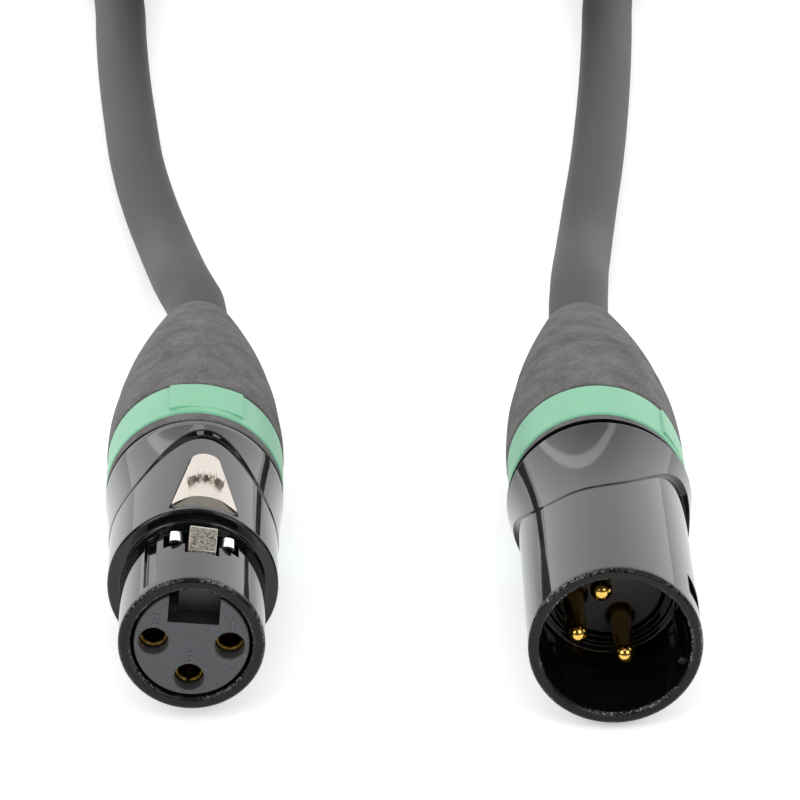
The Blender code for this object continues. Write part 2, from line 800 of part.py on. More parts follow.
def latch_lever(bench, pivot):
    """Built on the connector's axis, then moved so that its origin is its pivot."""
    top = ARM_FLOOR + ARM_THICKNESS
    heel = ARM_HEEL + ARM_THICKNESS
    side = [
        (TOOTH_FRONT, ARM_FLOOR),
        (ARM_HEEL, ARM_FLOOR),
        (heel, PAD_FLOOR + GAP),
        (heel, PAD_FLOOR + 2 * GAP),
        (PAD_FRONT, PAD_FLOOR + 2 * GAP),
        (PAD_FRONT, top),
        (TOOTH_REAR + GAP, top),
        (TOOTH_REAR, TOOTH_HEIGHT),
        (TOOTH_REAR - GAP, TOOTH_HEIGHT + GAP / 6),
        (TOOTH_FRONT + GAP, TOOTH_NOSE),
        (TOOTH_FRONT, TOOTH_NOSE - 2 * GAP),
    ]
    made = prism("latch_lever", [side], -TOOTH_HALF_WIDTH, TOOTH_HALF_WIDTH, SIDE_PLANE)
    eye = pivot_cylinder("latch_eye", EYE_RADIUS, EYE_WIDTH)
    hole = pivot_cylinder("latch_eye_hole", PIVOT_HOLE_RADIUS, REACH)
    bench.cutters.objects.link(made)
    boolean(made, latch_pad(bench), "UNION")
    boolean(made, bench.cutter(thumb_ridge()), "UNION")
    boolean(made, bench.cutter(eye), "UNION")
    boolean(made, bench.cutter(hole), "DIFFERENCE")
    bpy.context.view_layer.update()
    made = as_mesh(made)
    made.data.transform(Matrix.Translation((0, -PIVOT_HEIGHT, PIVOT_ALONG)))
    return bench.part(made, NICKEL, pivot)


def latch_pin(bench, parent):
    made = pivot_cylinder("latch_pin", PIVOT_PIN_RADIUS, PIVOT_PIN_LENGTH)
    return bench.part(made, SPRING_STEEL, parent)


def latch_spring(bench, parent):
    """One bent strip: a floor in the insert's slot, a tongue under the arm and a tab on each side."""
    floor = SLOT_FLOOR + GAP
    thick = SPRING_THICKNESS
    wide = SPRING_HALF_WIDTH
    half = [
        (wide, floor),
        (wide, TAB_BEND),
        (TAB_HALF_SPAN - thick, TAB_TOP - 2 * thick),
        (TAB_HALF_SPAN, TAB_TOP - thick),
        (TAB_HALF_SPAN - thick, TAB_TOP - thick / 2),
        (wide, TAB_TOP),
        (TOOTH_HALF_WIDTH + GAP + thick / 2, TAB_TOP - thick),
        (wide - thick, TAB_BEND),
        (wide - thick, floor + thick),
    ]
    section = half + [(-x, y) for x, y in reversed(half)]
    made = prism("latch_spring", [section], -TAB_REAR, -SPRING_FRONT, SECTION_PLANE)
    strip = rectangle(-wide, wide, SPRING_FRONT + thick, SPRING_REAR)
    tongue_top = ARM_FLOOR - GAP
    tongue = [
        (TONGUE_ROOT, floor + thick / 2),
        (TONGUE_ROOT, floor + thick),
        (TONGUE_TIP, tongue_top),
        (TONGUE_TIP - thick, tongue_top),
        (TONGUE_TIP - thick, tongue_top - thick),
        (TONGUE_TIP, tongue_top - thick),
        (TONGUE_ROOT - 2 * thick, floor + thick / 2),
    ]
    bench.part(made, SPRING_STEEL, parent)
    for part in (
        prism("spring_floor", [strip], floor, floor + thick, PLAN_PLANE),
        prism("spring_tongue", [tongue], -TONGUE_HALF_WIDTH, TONGUE_HALF_WIDTH, SIDE_PLANE),
    ):
        boolean(made, bench.cutter(part, parent), "UNION")
    return made


# Collet, coding ring and boot


def collet(bench, name, parent):
    skirt = REAR_BORE_RADIUS - GAP
    inside = skirt - SKIRT_WALL
    front = INSERT_FLANGE_REAR + GAP
    outline = [
        (front, inside),
        (front, skirt),
        (SKIRT_END, skirt),
        (SKIRT_END + GAP, COLLET_RADIUS),
        (COLLET_TAPER_ALONG, COLLET_RADIUS),
        (COLLET_END, COLLET_TIP_RADIUS),
        (COLLET_END, CABLE_BORE_RADIUS),
        (FUNNEL_END, CABLE_BORE_RADIUS),
        (FUNNEL_FRONT, inside),
    ]
    made = as_mesh(turned(name, outline, INNER_FACETS))
    bench.part(made, BLACK_PLASTIC, parent)
    shade_round(made)
    for slot in range(COLLET_SLOTS):
        plate = rectangle(-COLLET_SLOT_WIDTH / 2, COLLET_SLOT_WIDTH / 2, -REACH, REACH)
        cutter = prism(f"{name}_slot_{slot + 1}", [plate], -(COLLET_END + REACH), -COLLET_SLOT_FRONT, SECTION_PLANE)
        cutter.rotation_euler.z = math.pi * slot / COLLET_SLOTS
        boolean(made, bench.cutter(cutter, parent), "DIFFERENCE")
    return made


def coding_ring(bench, name, parent):
    edge = SHELL_EDGE
    inside = RING_BORE_RADIUS
    outline = [
        (RING_FRONT, inside),
        (RING_FRONT, RING_RADIUS - edge),
        (RING_FRONT + edge, RING_RADIUS),
        (RING_FRONT + RING_LENGTH - edge, RING_RADIUS),
        (RING_FRONT + RING_LENGTH, RING_RADIUS - edge),
        (RING_FRONT + RING_LENGTH, inside),
    ]
    made = as_mesh(turned(name, outline, RING_FACETS))
    bench.part(made, MINT_PLASTIC, parent)
    shade_round(made)
    boolean(made, bench.cutter(label_field(name), parent), "UNION")
    return made


def label_field(name):
    """A flatter field on the ring's key side, nearly flush at its middle and standing out at its corners."""
    half = math.degrees(math.asin(LABEL_HALF_WIDTH / LABEL_RADIUS))
    crown = arc(0, RING_RADIUS + LABEL_RISE - LABEL_RADIUS, LABEL_RADIUS, 90 - half, 90 + half, 8)
    root_radius = (RING_BORE_RADIUS + RING_RADIUS) / 2
    root_half = math.degrees(math.asin(LABEL_HALF_WIDTH / root_radius))
    section = crown + arc(0, 0, root_radius, 90 + root_half, 90 - root_half, 8)
    rear = RING_FRONT + RING_LENGTH - SHELL_EDGE - LABEL_RISE
    return prism(f"{name}_label", [section], -rear, -(RING_FRONT + LABEL_FRONT), SECTION_PLANE)


def nut_radius(along):
    share = (along - NUT_FRONT) / NUT_LENGTH
    return NUT_RADIUS - NUT_DROP * share**NUT_CURVE


def boot_nut(bench, name, parent):
    """Threaded neck in the shell, lip in front of the coding ring, and the grip behind it."""
    lip_rear = LIP_FRONT + LIP_LENGTH
    neck_front = THREAD_ALONG + NECK_START
    grip = [NUT_FRONT + NUT_EDGE + (NUT_LENGTH - NUT_EDGE) * i / NUT_ROWS for i in range(NUT_ROWS + 1)]
    throat_end = NUT_CONE_END + NUT_THROAT_LENGTH
    outline = (
        [(neck_front, NECK_RADIUS), (LIP_FRONT, NECK_RADIUS), (LIP_FRONT, LIP_RADIUS)]
        + [(lip_rear, LIP_RADIUS), (lip_rear, NECK_RADIUS), (NUT_FRONT, NECK_RADIUS)]
        + [(NUT_FRONT, nut_radius(NUT_FRONT) - NUT_EDGE)]
        + [(along, nut_radius(along)) for along in grip]
        + [
            (NUT_REAR, NUT_POCKET_RADIUS),
            (throat_end + NUT_THROAT_LENGTH, NUT_POCKET_RADIUS),
            (throat_end, NUT_THROAT_RADIUS),
            (NUT_CONE_END, NUT_THROAT_RADIUS),
            (NUT_CONE_FRONT, NECK_RADIUS - NECK_WALL),
            (neck_front, NECK_RADIUS - NECK_WALL),
        ]
    )
    made = as_mesh(turned(name, outline, FLUTES * FACETS_PER_FLUTE))
    for vertex in made.data.vertices:
        along, radius = -vertex.co.z, vertex.co.xy.length
        if along > NUT_FRONT + NUT_EDGE / 2 and radius > nut_radius(along) - NUT_EDGE / 2:
            share = (along - NUT_FRONT) / NUT_LENGTH
            depth = FLUTE_DEPTH * math.sin(math.pi * share) ** 2
            wave = 0.5 - 0.5 * math.cos(FLUTES * math.atan2(vertex.co.x, vertex.co.y))
            vertex.co.xy *= (radius - depth * wave) / radius
    bench.part(made, GREY_RUBBER, parent)
    shade_round(made)
    return made


def boot_sleeve(bench, name, parent):
    """Rubber cone that keeps the cable from kinking, hollow at its wide end."""
    tip = SLEEVE_TIP_ROUNDING
    outline = [
        (SLEEVE_FRONT, SLEEVE_RADIUS),
        (SLEEVE_REAR - tip, SLEEVE_TIP_RADIUS),
        (SLEEVE_REAR, SLEEVE_TIP_RADIUS - tip),
        (SLEEVE_REAR, CABLE_BORE_RADIUS),
        (SLEEVE_FRONT + SLEEVE_CAVITY_LENGTH, CABLE_BORE_RADIUS),
        (SLEEVE_FRONT + SLEEVE_CAVITY_FRONT, NUT_POCKET_RADIUS),
        (SLEEVE_FRONT, NUT_POCKET_RADIUS),
    ]
    made = bench.part(as_mesh(turned(name, outline, RING_FACETS)), GREY_RUBBER, parent)
    shade_round(made)
    return made


# Cable


def smooth_curve(points, spacing):
    """Points at about that spacing on a smooth curve through the given ones."""
    points = [Vector(p) for p in points]
    padded = [2 * points[0] - points[1]] + points + [2 * points[-1] - points[-2]]
    made = [points[0]]
    for before, start, end, after in zip(padded, padded[1:], padded[2:], padded[3:]):
        steps = max(1, round((end - start).length / spacing))
        for step in range(1, steps + 1):
            t = step / steps
            made.append(
                0.5
                * (
                    2 * start
                    + (end - before) * t
                    + (2 * before - 5 * start + 4 * end - after) * t**2
                    + (3 * start - before - 3 * end + after) * t**3
                )
            )
    return made


def tube(bench, name, points, radius, resolution, finish, parent=None):
    curve = bpy.data.curves.new(name, "CURVE")
    curve.dimensions = "3D"
    curve.bevel_depth = radius
    curve.bevel_resolution = resolution
    curve.resolution_u = curve.render_resolution_u = 1
    curve.use_fill_caps = True
    spline = curve.splines.new("POLY")
    spline.points.add(len(points) - 1)
    for point, place in zip(spline.points, points):
        point.co = (*place, 1)
    made = as_mesh(bpy.data.objects.new(name, curve))
    bench.part(made, finish, parent)
    shade_round(made)
    return made


def cable_lead(bench, name, axis, route):
    """Straight from the collet out of the boot, then along its route to the coil."""
    stations = (CABLE_END_ALONG, NUT_FRONT, SLEEVE_FRONT, SLEEVE_REAR, SLEEVE_REAR + STRAIGHT_AFTER_BOOT)
    straight = [axis.matrix_world @ Vector((0, 0, -along)) for along in stations]
    free = smooth_curve([straight[-2], straight[-1], *map(Vector, route)], ROUTE_SPACING)
    return tube(bench, name, straight[:-2] + free, CABLE_RADIUS, 4, CABLE_JACKET)


def core_wires(bench, stem, parent):
    """Each core runs from inside its solder cup to the end of the cable's jacket."""
    start = CUP_END - CORE_DEPTH_IN_CUP
    end = CABLE_END_ALONG - GAP
    bend = CUP_END + CORE_DEPTH_IN_CUP
    for number, (place, finish) in enumerate(zip(contact_places(), CORE_COLOURS), 1):
        out = Vector(place).normalized()
        stations = ((start, CONTACT_CIRCLE_RADIUS), (bend, CONTACT_CIRCLE_RADIUS))
        stations += ((end - CORE_DEPTH_IN_CUP, CORE_SPREAD), (end, CORE_SPREAD))
        points = [out * radius + Vector((0, 0, -along)) for along, radius in stations]
        tube(bench, f"{stem}_{number}", smooth_curve(points, 2 * CORE_RADIUS), CORE_RADIUS, 2, finish, parent)


def cable_coil(bench):
    size = CABLE_RADIUS
    corners = (
        (-COIL_HEIGHT + size, COIL_OUTER_RADIUS - size, 180, 90),
        (-size, COIL_OUTER_RADIUS - size, 90, 0),
        (-size, COIL_INNER_RADIUS + size, 0, -90),
        (-COIL_HEIGHT + size, COIL_INNER_RADIUS + size, -90, -180),
    )
    outline = [point for along, radius, start, stop in corners for point in arc(along, radius, size, start, stop, 2)]
    made = as_mesh(turned("cable_coil", outline, COIL_FACETS))
    made.location = COIL_CENTRE
    bench.part(made, CABLE_JACKET)
    shade_round(made)
    half = TIE_WIDTH / 2 + GAP
    channel = rectangle(0, 2 * COIL_OUTER_RADIUS, -TIE_THICKNESS, TIE_THICKNESS + GAP)
    cutter = prism("tie_channel", [channel], -half, half, COIL_PLANE)
    cutter.location = COIL_CENTRE
    boolean(made, bench.cutter(cutter), "DIFFERENCE")
    return made


def cable_tie(bench):
    """Strap round the turns at the coil's far side."""
    inner = COIL_INNER_RADIUS - TIE_INNER_CLEARANCE - GAP
    outer = COIL_OUTER_RADIUS + GAP
    low, high = TIE_THICKNESS, COIL_HEIGHT + GAP
    thick = TIE_THICKNESS
    hole = rounded_rectangle(inner, outer, low, high, thick, 2)
    strap = rounded_rectangle(inner - thick, outer + thick, low - thick, high + thick, 2 * thick, 3)
    made = prism("cable_tie", [strap, hole], -TIE_WIDTH / 2, TIE_WIDTH / 2, COIL_PLANE)
    made.location = COIL_CENTRE
    return bench.part(made, STRAP_FABRIC)


def connector_axis(bench, name, x, setback, height, yaw, roll):
    """An empty at the front rim's centre; the roll is clockwise as seen from the front."""
    return bench.axis(name, (x, setback - SLEEVE_REAR / 2, height), (math.pi / 2, roll, yaw))


def boot(bench, stem, parent):
    coding_ring(bench, f"{stem}_coding_ring", parent)
    boot_nut(bench, f"{stem}_boot_nut", parent)
    boot_sleeve(bench, f"{stem}_boot_sleeve", parent)


def female_connector(bench):
    height = max(FEMALE_COLLAR_RADIUS, RING_RADIUS, NUT_RADIUS)
    axis = connector_axis(bench, "female_axis", FEMALE_X, STAGGER, height, FEMALE_YAW, FEMALE_ROLL)
    pivot = bench.axis("latch_pivot", (0, PIVOT_HEIGHT, -PIVOT_ALONG), (0, 0, 0), axis)
    insert_axis = bench.axis("female_insert_axis", (0, 0, 0), (0, 0, INSERT_TURN), axis)
    female_shell(bench, axis)
    female_insert(bench, insert_axis)
    female_contacts(bench, insert_axis)
    latch_lever(bench, pivot)
    latch_pin(bench, axis)
    latch_spring(bench, axis)
    collet(bench, "female_collet", axis)
    core_wires(bench, "female_core", insert_axis)
    boot(bench, "female", axis)
    return axis


def male_connector(bench):
    height = max(MALE_COLLAR_RADIUS, RING_RADIUS, NUT_RADIUS)
    axis = connector_axis(bench, "male_axis", MALE_X, -STAGGER, height, MALE_YAW, MALE_ROLL)
    male_shell(bench, axis)
    male_insert(bench, axis)
    male_contacts(bench, axis)
    collet(bench, "male_collet", axis)
    core_wires(bench, "male_core", axis)
    boot(bench, "male", axis)
    return axis


def main():
    clear_scene()
    bench = Bench()
    female = female_connector(bench)
    male = male_connector(bench)
    bpy.context.view_layer.update()
    cable_lead(bench, "cable_lead_female", female, FEMALE_ROUTE)
    cable_lead(bench, "cable_lead_male", male, MALE_ROUTE)
    cable_coil(bench)
    cable_tie(bench)
    bpy.context.view_layer.update()


main()
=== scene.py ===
"""Dresses a three-pole audio cable: a female and a male connector on one cable, most of it coiled.

Lengths are in metres. Each connector is modelled on its own axis, as its CAD pieces are: local +Z points
out of its front, local +Y is its key side, and "along" is the distance behind its front rim.
"""

import math

import bmesh
import bpy
from bpy.props import FloatProperty, FloatVectorProperty, PointerProperty
from mathutils import Euler, Matrix, Vector


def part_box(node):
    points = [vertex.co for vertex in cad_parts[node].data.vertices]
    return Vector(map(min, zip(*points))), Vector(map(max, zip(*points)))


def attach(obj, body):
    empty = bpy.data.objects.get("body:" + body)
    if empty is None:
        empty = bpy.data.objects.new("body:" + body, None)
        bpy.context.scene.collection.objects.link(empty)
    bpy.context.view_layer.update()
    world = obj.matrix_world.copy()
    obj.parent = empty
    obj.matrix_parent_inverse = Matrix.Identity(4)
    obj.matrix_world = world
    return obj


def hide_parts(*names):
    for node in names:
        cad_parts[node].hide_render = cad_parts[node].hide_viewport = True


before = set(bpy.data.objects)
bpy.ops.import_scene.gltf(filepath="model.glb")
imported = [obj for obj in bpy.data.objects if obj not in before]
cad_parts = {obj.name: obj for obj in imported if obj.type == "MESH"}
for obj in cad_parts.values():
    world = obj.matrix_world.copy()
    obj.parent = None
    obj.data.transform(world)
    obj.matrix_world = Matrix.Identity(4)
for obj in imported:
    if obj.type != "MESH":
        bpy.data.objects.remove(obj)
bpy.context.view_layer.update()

bl_info = {
    "name": "Three-pole audio cable",
    "version": (1, 0, 0),
    "blender": (4, 5, 0),
    "location": "3D View > Sidebar > Audio cable",
    "description": "Dresses a coiled audio cable with its two connectors and sets its stage",
    "category": "Add Mesh",
}

MM = 0.001
GAP = 0.3 * MM

# Facets around the turned pieces; each is a multiple of the flutes or of four
SHELL_STEPS = 192
RING_STEPS = 160
NUT_STEPS = 240
SMALL_STEPS = 48

# Places of the connectors
FEMALE_PLACE = (-22.55 * MM, -39.4 * MM, 10.3 * MM)
FEMALE_TURN = (90.0, 9.0, 0.91)
MALE_PLACE = (23.3 * MM, -41.1 * MM, 10.6 * MM)
MALE_TURN = (90.0, 71.0, 0.0)
INSERT_TURN = 4.0

# Shells
RIM_ROUNDING = 0.45 * MM
RIM_END = 0.95 * MM
SEAT_ALONG = 16.0 * MM
REAR_BORE_RADIUS = 7.6 * MM
THREAD_ALONG = 29.0 * MM
THREAD_RADIUS = 8.7 * MM
FLARE_ALONG = 20.0 * MM
BARREL_WALL = 1.4 * MM
GUIDE_ANGLE = 43.0
GROOVE_WIDTH = 1.6 * MM
GROOVE_DEPTH = 0.5 * MM
GROOVE_FRONT = 1.5 * MM
LEDGE_RADIUS = 6.4 * MM
LEDGE_STEP_RADIUS = 7.2 * MM
LEDGE_STEP = 0.5 * MM
RIB_WIDTH = 0.9 * MM
RIB_HEIGHT = 0.4 * MM
RIB_FRONT = 3.0 * MM
CATCH_FRONT = 3.2 * MM
CATCH_LENGTH = 4.4 * MM
CATCH_WIDTH = 4.2 * MM
FRONT_PART_END = FLARE_ALONG - 2 * MM
REAR_ROUNDING = 0.15 * MM
FLANGE_ROOT = 0.4 * MM
FLANGE_EDGE = 0.35 * MM
GROOVE_ROUNDING = 0.2 * MM
GROOVE_SETBACK = 0.4 * MM
LEDGE_DRAFT = 0.15 * MM
LEDGE_ROUNDINGS = (0.1 * MM, 0.08 * MM, 0.12 * MM, 0.3 * MM)
RIB_ROUNDING = 0.12 * MM
CATCH_ROUNDING = 0.4 * MM

# The collars open behind a low step. A collar's arched front edge is given by its place at the sides, how
# much further back it runs at the key side, and how narrow the arch is
FEMALE_FLARE = 14.0 * MM
FEMALE_ARCH = (23.5 * MM, 9.2 * MM, 4.5)
MALE_FLARE = 14.5 * MM
MALE_ARCH = (20.0 * MM, 11.1 * MM, 3.2)
COLLAR_STEP = 0.09
COLLAR_POWER = 2.1
STEP_AHEAD = 0.36 * MM
STEP_RUN = 0.5 * MM

# Rows of the collar beside that edge, as offsets in millimetres
ARCH_BAND = 1.0 * MM
ARCH_SETTLE = 0.4 * MM
ARCH_ROWS = (-1.0, -0.6, -0.42, -0.34, -0.27, -0.2, -0.13, -0.06, 0.0, 0.06, 0.12, 0.2, 0.4)
COLLAR_ROWS = 16

# Inserts and contacts
INSERT_RECESS = 0.3 * MM
FLANGE_FRONT = SEAT_ALONG + GAP
FLANGE_REAR = FLANGE_FRONT + 1.7 * MM
INSERT_TAIL = FLANGE_REAR + 4.0 * MM
SLOT_WIDTH = 5.6 * MM
SLOT_FLOOR = 2.5 * MM
BRIDGE_FRONT = 3.3 * MM
BRIDGE_LENGTH = 2.5 * MM
BRIDGE_SLIT = 1.1 * MM
CONTACT_CIRCLE = 4.15 * MM
CONTACT_ANGLES = (0.0, 180.0, -90.0)
FACE_HOLE_RADIUS = 1.62 * MM
FACE_HOLE_DEPTH = 1.5 * MM
PIN_RADIUS = 1.2 * MM
PIN_TIP = 4.7 * MM
STEM_RADIUS = 1.55 * MM
STEM_END = 21.5 * MM
CUP_RADIUS = 1.3 * MM
CUP_WALL = 0.35 * MM
CUP_DEPTH = 3.5 * MM
CUP_END = 26.5 * MM
CUP_OPENING = 2.5 * MM
SOCKET_DEPTH = 14.0 * MM
SOCKET_SLIT = 0.4 * MM
SOCKET_LEAD = 0.15 * MM
SOCKET_EDGE = 0.08 * MM
HOLE_LEAD = 0.12 * MM
NOSE_STEPS = 10
# How far into the slot the insert's faces turn black, as painted shade
SLOT_PAINTED_SHADE_FROM = 0.5 * MM

# Plain figures beside the contacts, with their places in millimetres
FEMALE_FIGURES = (("2", (-4.05, 2.6)), ("1", (4.3, 2.55)), ("3", (0.0, -1.75)))
FEMALE_FIGURE_SIZE = 2.0 * MM
MALE_FIGURES = (("1", (2.2, 2.4)), ("2", (-2.2, 2.4)), ("3", (0.0, -1.5)))
MALE_FIGURE_SIZE = 1.6 * MM
FIGURE_RISE = 0.1 * MM

# Latch; heights are above the connector's axis
POCKET_GAP = 0.8 * GAP
TOOTH_GAP = 1.2 * GAP
LEVER_EDGE = 0.1 * MM
PIVOT_ALONG = 25.7 * MM
PIVOT_HEIGHT = 8.35 * MM
PIVOT_HOLE_RADIUS = 0.6 * MM
EYE_RADIUS = 0.8 * MM
EYE_WIDTH = 2.2 * MM
PAD_TIP_RADIUS = 1.6 * MM
PAD_TIP_STEPS = 12
PAD_FLOOR = 8.3 * MM
PAD_CROWN = 9.9 * MM
FACET_ALONG = 16.35 * MM
FACET_FRONT_HEIGHT = 8.8 * MM
FACET_HALF_WIDTH = 1.4 * MM
ARM_FLOOR = 5.3 * MM
ARM_THICKNESS = 0.9 * MM
ARM_HEEL = 16.4 * MM
TOOTH_FRONT = 6.8 * MM
TOOTH_REAR = 10.3 * MM
TOOTH_HALF_WIDTH = 1.52 * MM
TOOTH_NOSE = 8.0 * MM
TOOTH_HEIGHT = 9.2 * MM
TOOTH_FACE_DEPTH = 1.1 * MM
TOOTH_FACE_AREA = 0.4 * MM**2

# The thumb ridge is a crescent between two arcs, each with its centre, radius, half angle and front limit
RIDGE_OUTER = (20.2 * MM, 2.1 * MM, 108.0, 19.45 * MM)
RIDGE_INNER = (18.75 * MM, 1.95 * MM, -74.0, 19.3 * MM)
RIDGE_STEPS = 16
RIDGE_EDGE = 0.14 * MM
NOTCH_PLACES = (-1.05, -0.35, 0.35, 1.05)
NOTCH_HALF_WIDTH = 0.1 * MM
NOTCH_SPAN = (20.0 * MM, 23.0 * MM)
NOTCH_DEPTH = 0.3 * MM

# Latch spring; its paths are in millimetres
SPRING_THICKNESS = 0.25 * MM
TAB_WINDOW_FRONT = 8.6 * MM
SPRING_FRONT = 8.8 * MM
TAB_REAR = 10.9 * MM
TAB_WINDOW_GAP = 0.6 * MM
TAB_HALF_SPAN = 3.55 * MM
TAB_PATH = ((3.62, 7.5), (3.5, 7.78), (3.15, 7.92), (2.7, 7.95), (2.36, 7.85), (2.12, 7.55), (1.98, 7.0), (1.97, 5.0))
TAB_FOOT = 1.97 * MM
TAB_FOOT_RISE = 0.25 * MM
FLOOR_STRIP_INSIDE = 1.8 * MM
FLOOR_STRIP_HALF_WIDTH = 2.0 * MM
FLOOR_STRIP_REAR = 17.0 * MM
FLOOR_STRIP_EDGE = 0.05 * MM
TONGUE_ROOT = ((15.2, 0.0), (13.0, 0.5))
TONGUE_END = ((10.5, 4.2), (9.0, 4.85), (8.75, 4.8))
TONGUE_HALF_WIDTH = 1.2 * MM
SPRING_BEVEL = 0.03 * MM

# Boots
SHELL_GAP_ALONG = 35.5 * MM
LIP_LENGTH = 1.5 * MM
LIP_SETBACK = 0.15 * MM
RING_SETBACK = 0.1 * MM
LABEL_RADIUS = 14.0 * MM
LABEL_HALF_WIDTH = 4.3 * MM
LABEL_FRONT = 1.2 * MM
LABEL_RISE = 0.05 * MM
NECK_RADIUS = 8.4 * MM
NECK_BORE = 7.1 * MM
NECK_FRONT = 29.5 * MM
NECK_CONE_REAR = 40.0 * MM
THREAD_PITCH = 1.5 * MM
THREAD_DEPTH = 0.45 * MM
NUT_DROP = 1.1 * MM
NUT_CURVE = 2.2
NUT_ROWS = 26
NUT_THROAT = (45.5 * MM, 48.0 * MM)
NUT_THROAT_RADIUS = 4.4 * MM
REAR_POCKET_FRONT = 50.5 * MM
REAR_POCKET_RADIUS = 6.6 * MM
FLUTES = 12
FLUTE_SKIN = 0.15 * MM
FLUTE_SHARPNESS = 1.3
SLEEVE_FRONT_RADIUS = 9.05 * MM
SLEEVE_TIP_RADIUS = 4.6 * MM
SLEEVE_TIP_DRAFT = 0.11 * MM
SLEEVE_CURVE = 1.3
SLEEVE_ROWS = 20
SLEEVE_POCKET_DEPTH = 2.5 * MM
SLEEVE_CONE_DEPTH = 10.5 * MM

# Where the flutes deepen and where they fade, each as a start and a run in shares of the nut's grip
FLUTE_DEEPENS = (0.22, 0.4)
FLUTE_FADES = (0.82, 0.16)

# Cable
STRAIGHT_AFTER_BOOT = 4.0 * MM
MOUTH_OVERLAP = 0.5 * MM
CABLE_END_ALONG = 33.0 * MM
CABLE_END_ROUNDING = 0.3 * MM
COIL_CENTRE = Vector((-2.5 * MM, 240.0 * MM, 0.0))
COIL_OUTER = 51.3 * MM
COIL_CORE = 30.55 * MM
COIL_PITCH = 7.42 * MM
LAYER_RISE = 7.45 * MM
COIL_TURNS = 10
CLIMB_LEAD = 0.3
DROP_TURNS = 0.25
POINTS_PER_TURN = 20
TIE_LIFT = 1.35 * MM
TIE_LIFT_RUN = 30.0 * MM
TIE_THICKNESS = 1.2 * MM
TIE_WIDTH = 12.0 * MM
TIE_CORNER = 2.4 * MM
TIE_COLUMNS = 8
TIE_BEVEL = 0.25 * MM
TIE_THINNING = 0.96

# The route's points between each boot and the coil, in millimetres
FEMALE_ROUTE = (
    (-24.4, 50.0, 10.15),
    (-25.6, 56.2, 9.4),
    (-26.8, 64.0, 7.8),
    (-27.9, 72.6, 5.9),
    (-29.4, 83.0, 4.2),
    (-31.8, 96.5, 3.7),
    (-34.0, 111.0, 3.7),
    (-35.7, 128.0, 3.7),
    (-37.1, 144.0, 3.7),
    (-38.2, 160.0, 3.7),
    (-38.9, 172.5, 3.7),
    (-39.7, 179.9, 3.7),
    (-41.2, 187.0, 3.7),
    (-44.4, 198.5, 3.7),
)
MALE_ROUTE = (
    (39.4, 198.5, 8.7),
    (36.2, 187.0, 6.2),
    (34.7, 179.9, 4.9),
    (33.9, 172.8, 4.0),
    (33.1, 160.0, 3.7),
    (32.0, 144.0, 3.7),
    (30.7, 128.0, 3.7),
    (29.1, 111.0, 3.7),
    (27.5, 96.5, 3.7),
    (26.1, 83.0, 4.2),
    (25.2, 72.6, 6.0),
    (24.5, 64.0, 8.0),
    (24.0, 56.2, 9.6),
    (23.6, 50.0, 10.4),
)

# Stage: the camera looks from a little left of the middle, down at the connectors' fronts; metres and degrees
CAMERA_AZIMUTH = 0.78
CAMERA_TILT = 25.5
CAMERA_AIM_Y = -0.04005
FLOOR_RADIUS = 9.0
FLOOR_CENTRE = (0, 0.12, -0.02 * MM)

# Lamps: azimuth from the front, elevation, distance, size, power and roll
LAMP_AIM = Vector((0, -0.01, 0.01))
LAMPS = {
    "front_left_box": (-37.0, 33.0, 1.3, (0.52, 0.52), 4.8, 0.0),
    "front_right_box": (37.0, 33.0, 1.3, (0.52, 0.52), 4.2, 0.0),
    "back_strip": (201.0, 27.0, 1.5, (2.2, 0.085), 0.85, -31.0),
}

# World: its fill for matte surfaces; for shiny ones the level ahead of and behind the connectors, how wide
# the change between them is, and how the level falls with height. The floor is lifted towards white, which is 1
WORLD_FILL = 0.95
FOREGROUND_LEVEL = 0.1
BACKDROP_LEVEL = 2.0
BACKDROP_BLEND = 0.35
SKY_LEVELS = ((0.0, 0.9), (0.5, 1.0), (0.7, 1.0), (0.79, 0.8), (0.86, 0.5), (0.93, 0.2), (1.0, 0.14))
FLOOR_LIFT = 0.33

# The hoop of light overhead: its height on the unit sphere, half its width there, and its level
HOOP_HEIGHT = 0.88
HOOP_WIDTH = 0.035
HOOP_LEVEL = 2.2

# Directions of a flat outline's two axes and of its thickness, and a length that clears any connector
SIDE_PLANE = (Vector((0, 0, -1)), Vector((0, 1, 0)), Vector((1, 0, 0)))
SECTION_PLANE = (Vector((1, 0, 0)), Vector((0, 1, 0)), Vector((0, 0, 1)))
PLAN_PLANE = (Vector((1, 0, 0)), Vector((0, 0, -1)), Vector((0, 1, 0)))
REACH = 30.0 * MM


def linear(hex_colour):
    """An sRGB hex colour as scene-linear RGB."""
    channels = [int(hex_colour[i : i + 2], 16) / 255 for i in (1, 3, 5)]
    return tuple(c / 12.92 if c <= 0.04045 else ((c + 0.055) / 1.055) ** 2.4 for c in channels)


# Sizes and colours that a user would change


def distance(name, description, default):
    return FloatProperty(
        name=name,
        description=description,
        default=default * MM,
        min=0.0,
        precision=5,
        subtype="DISTANCE",
        unit="LENGTH",
    )


def colour(name, description, default):
    return FloatVectorProperty(
        name=name, description=description, default=linear(default), min=0.0, max=1.0, subtype="COLOR"
    )


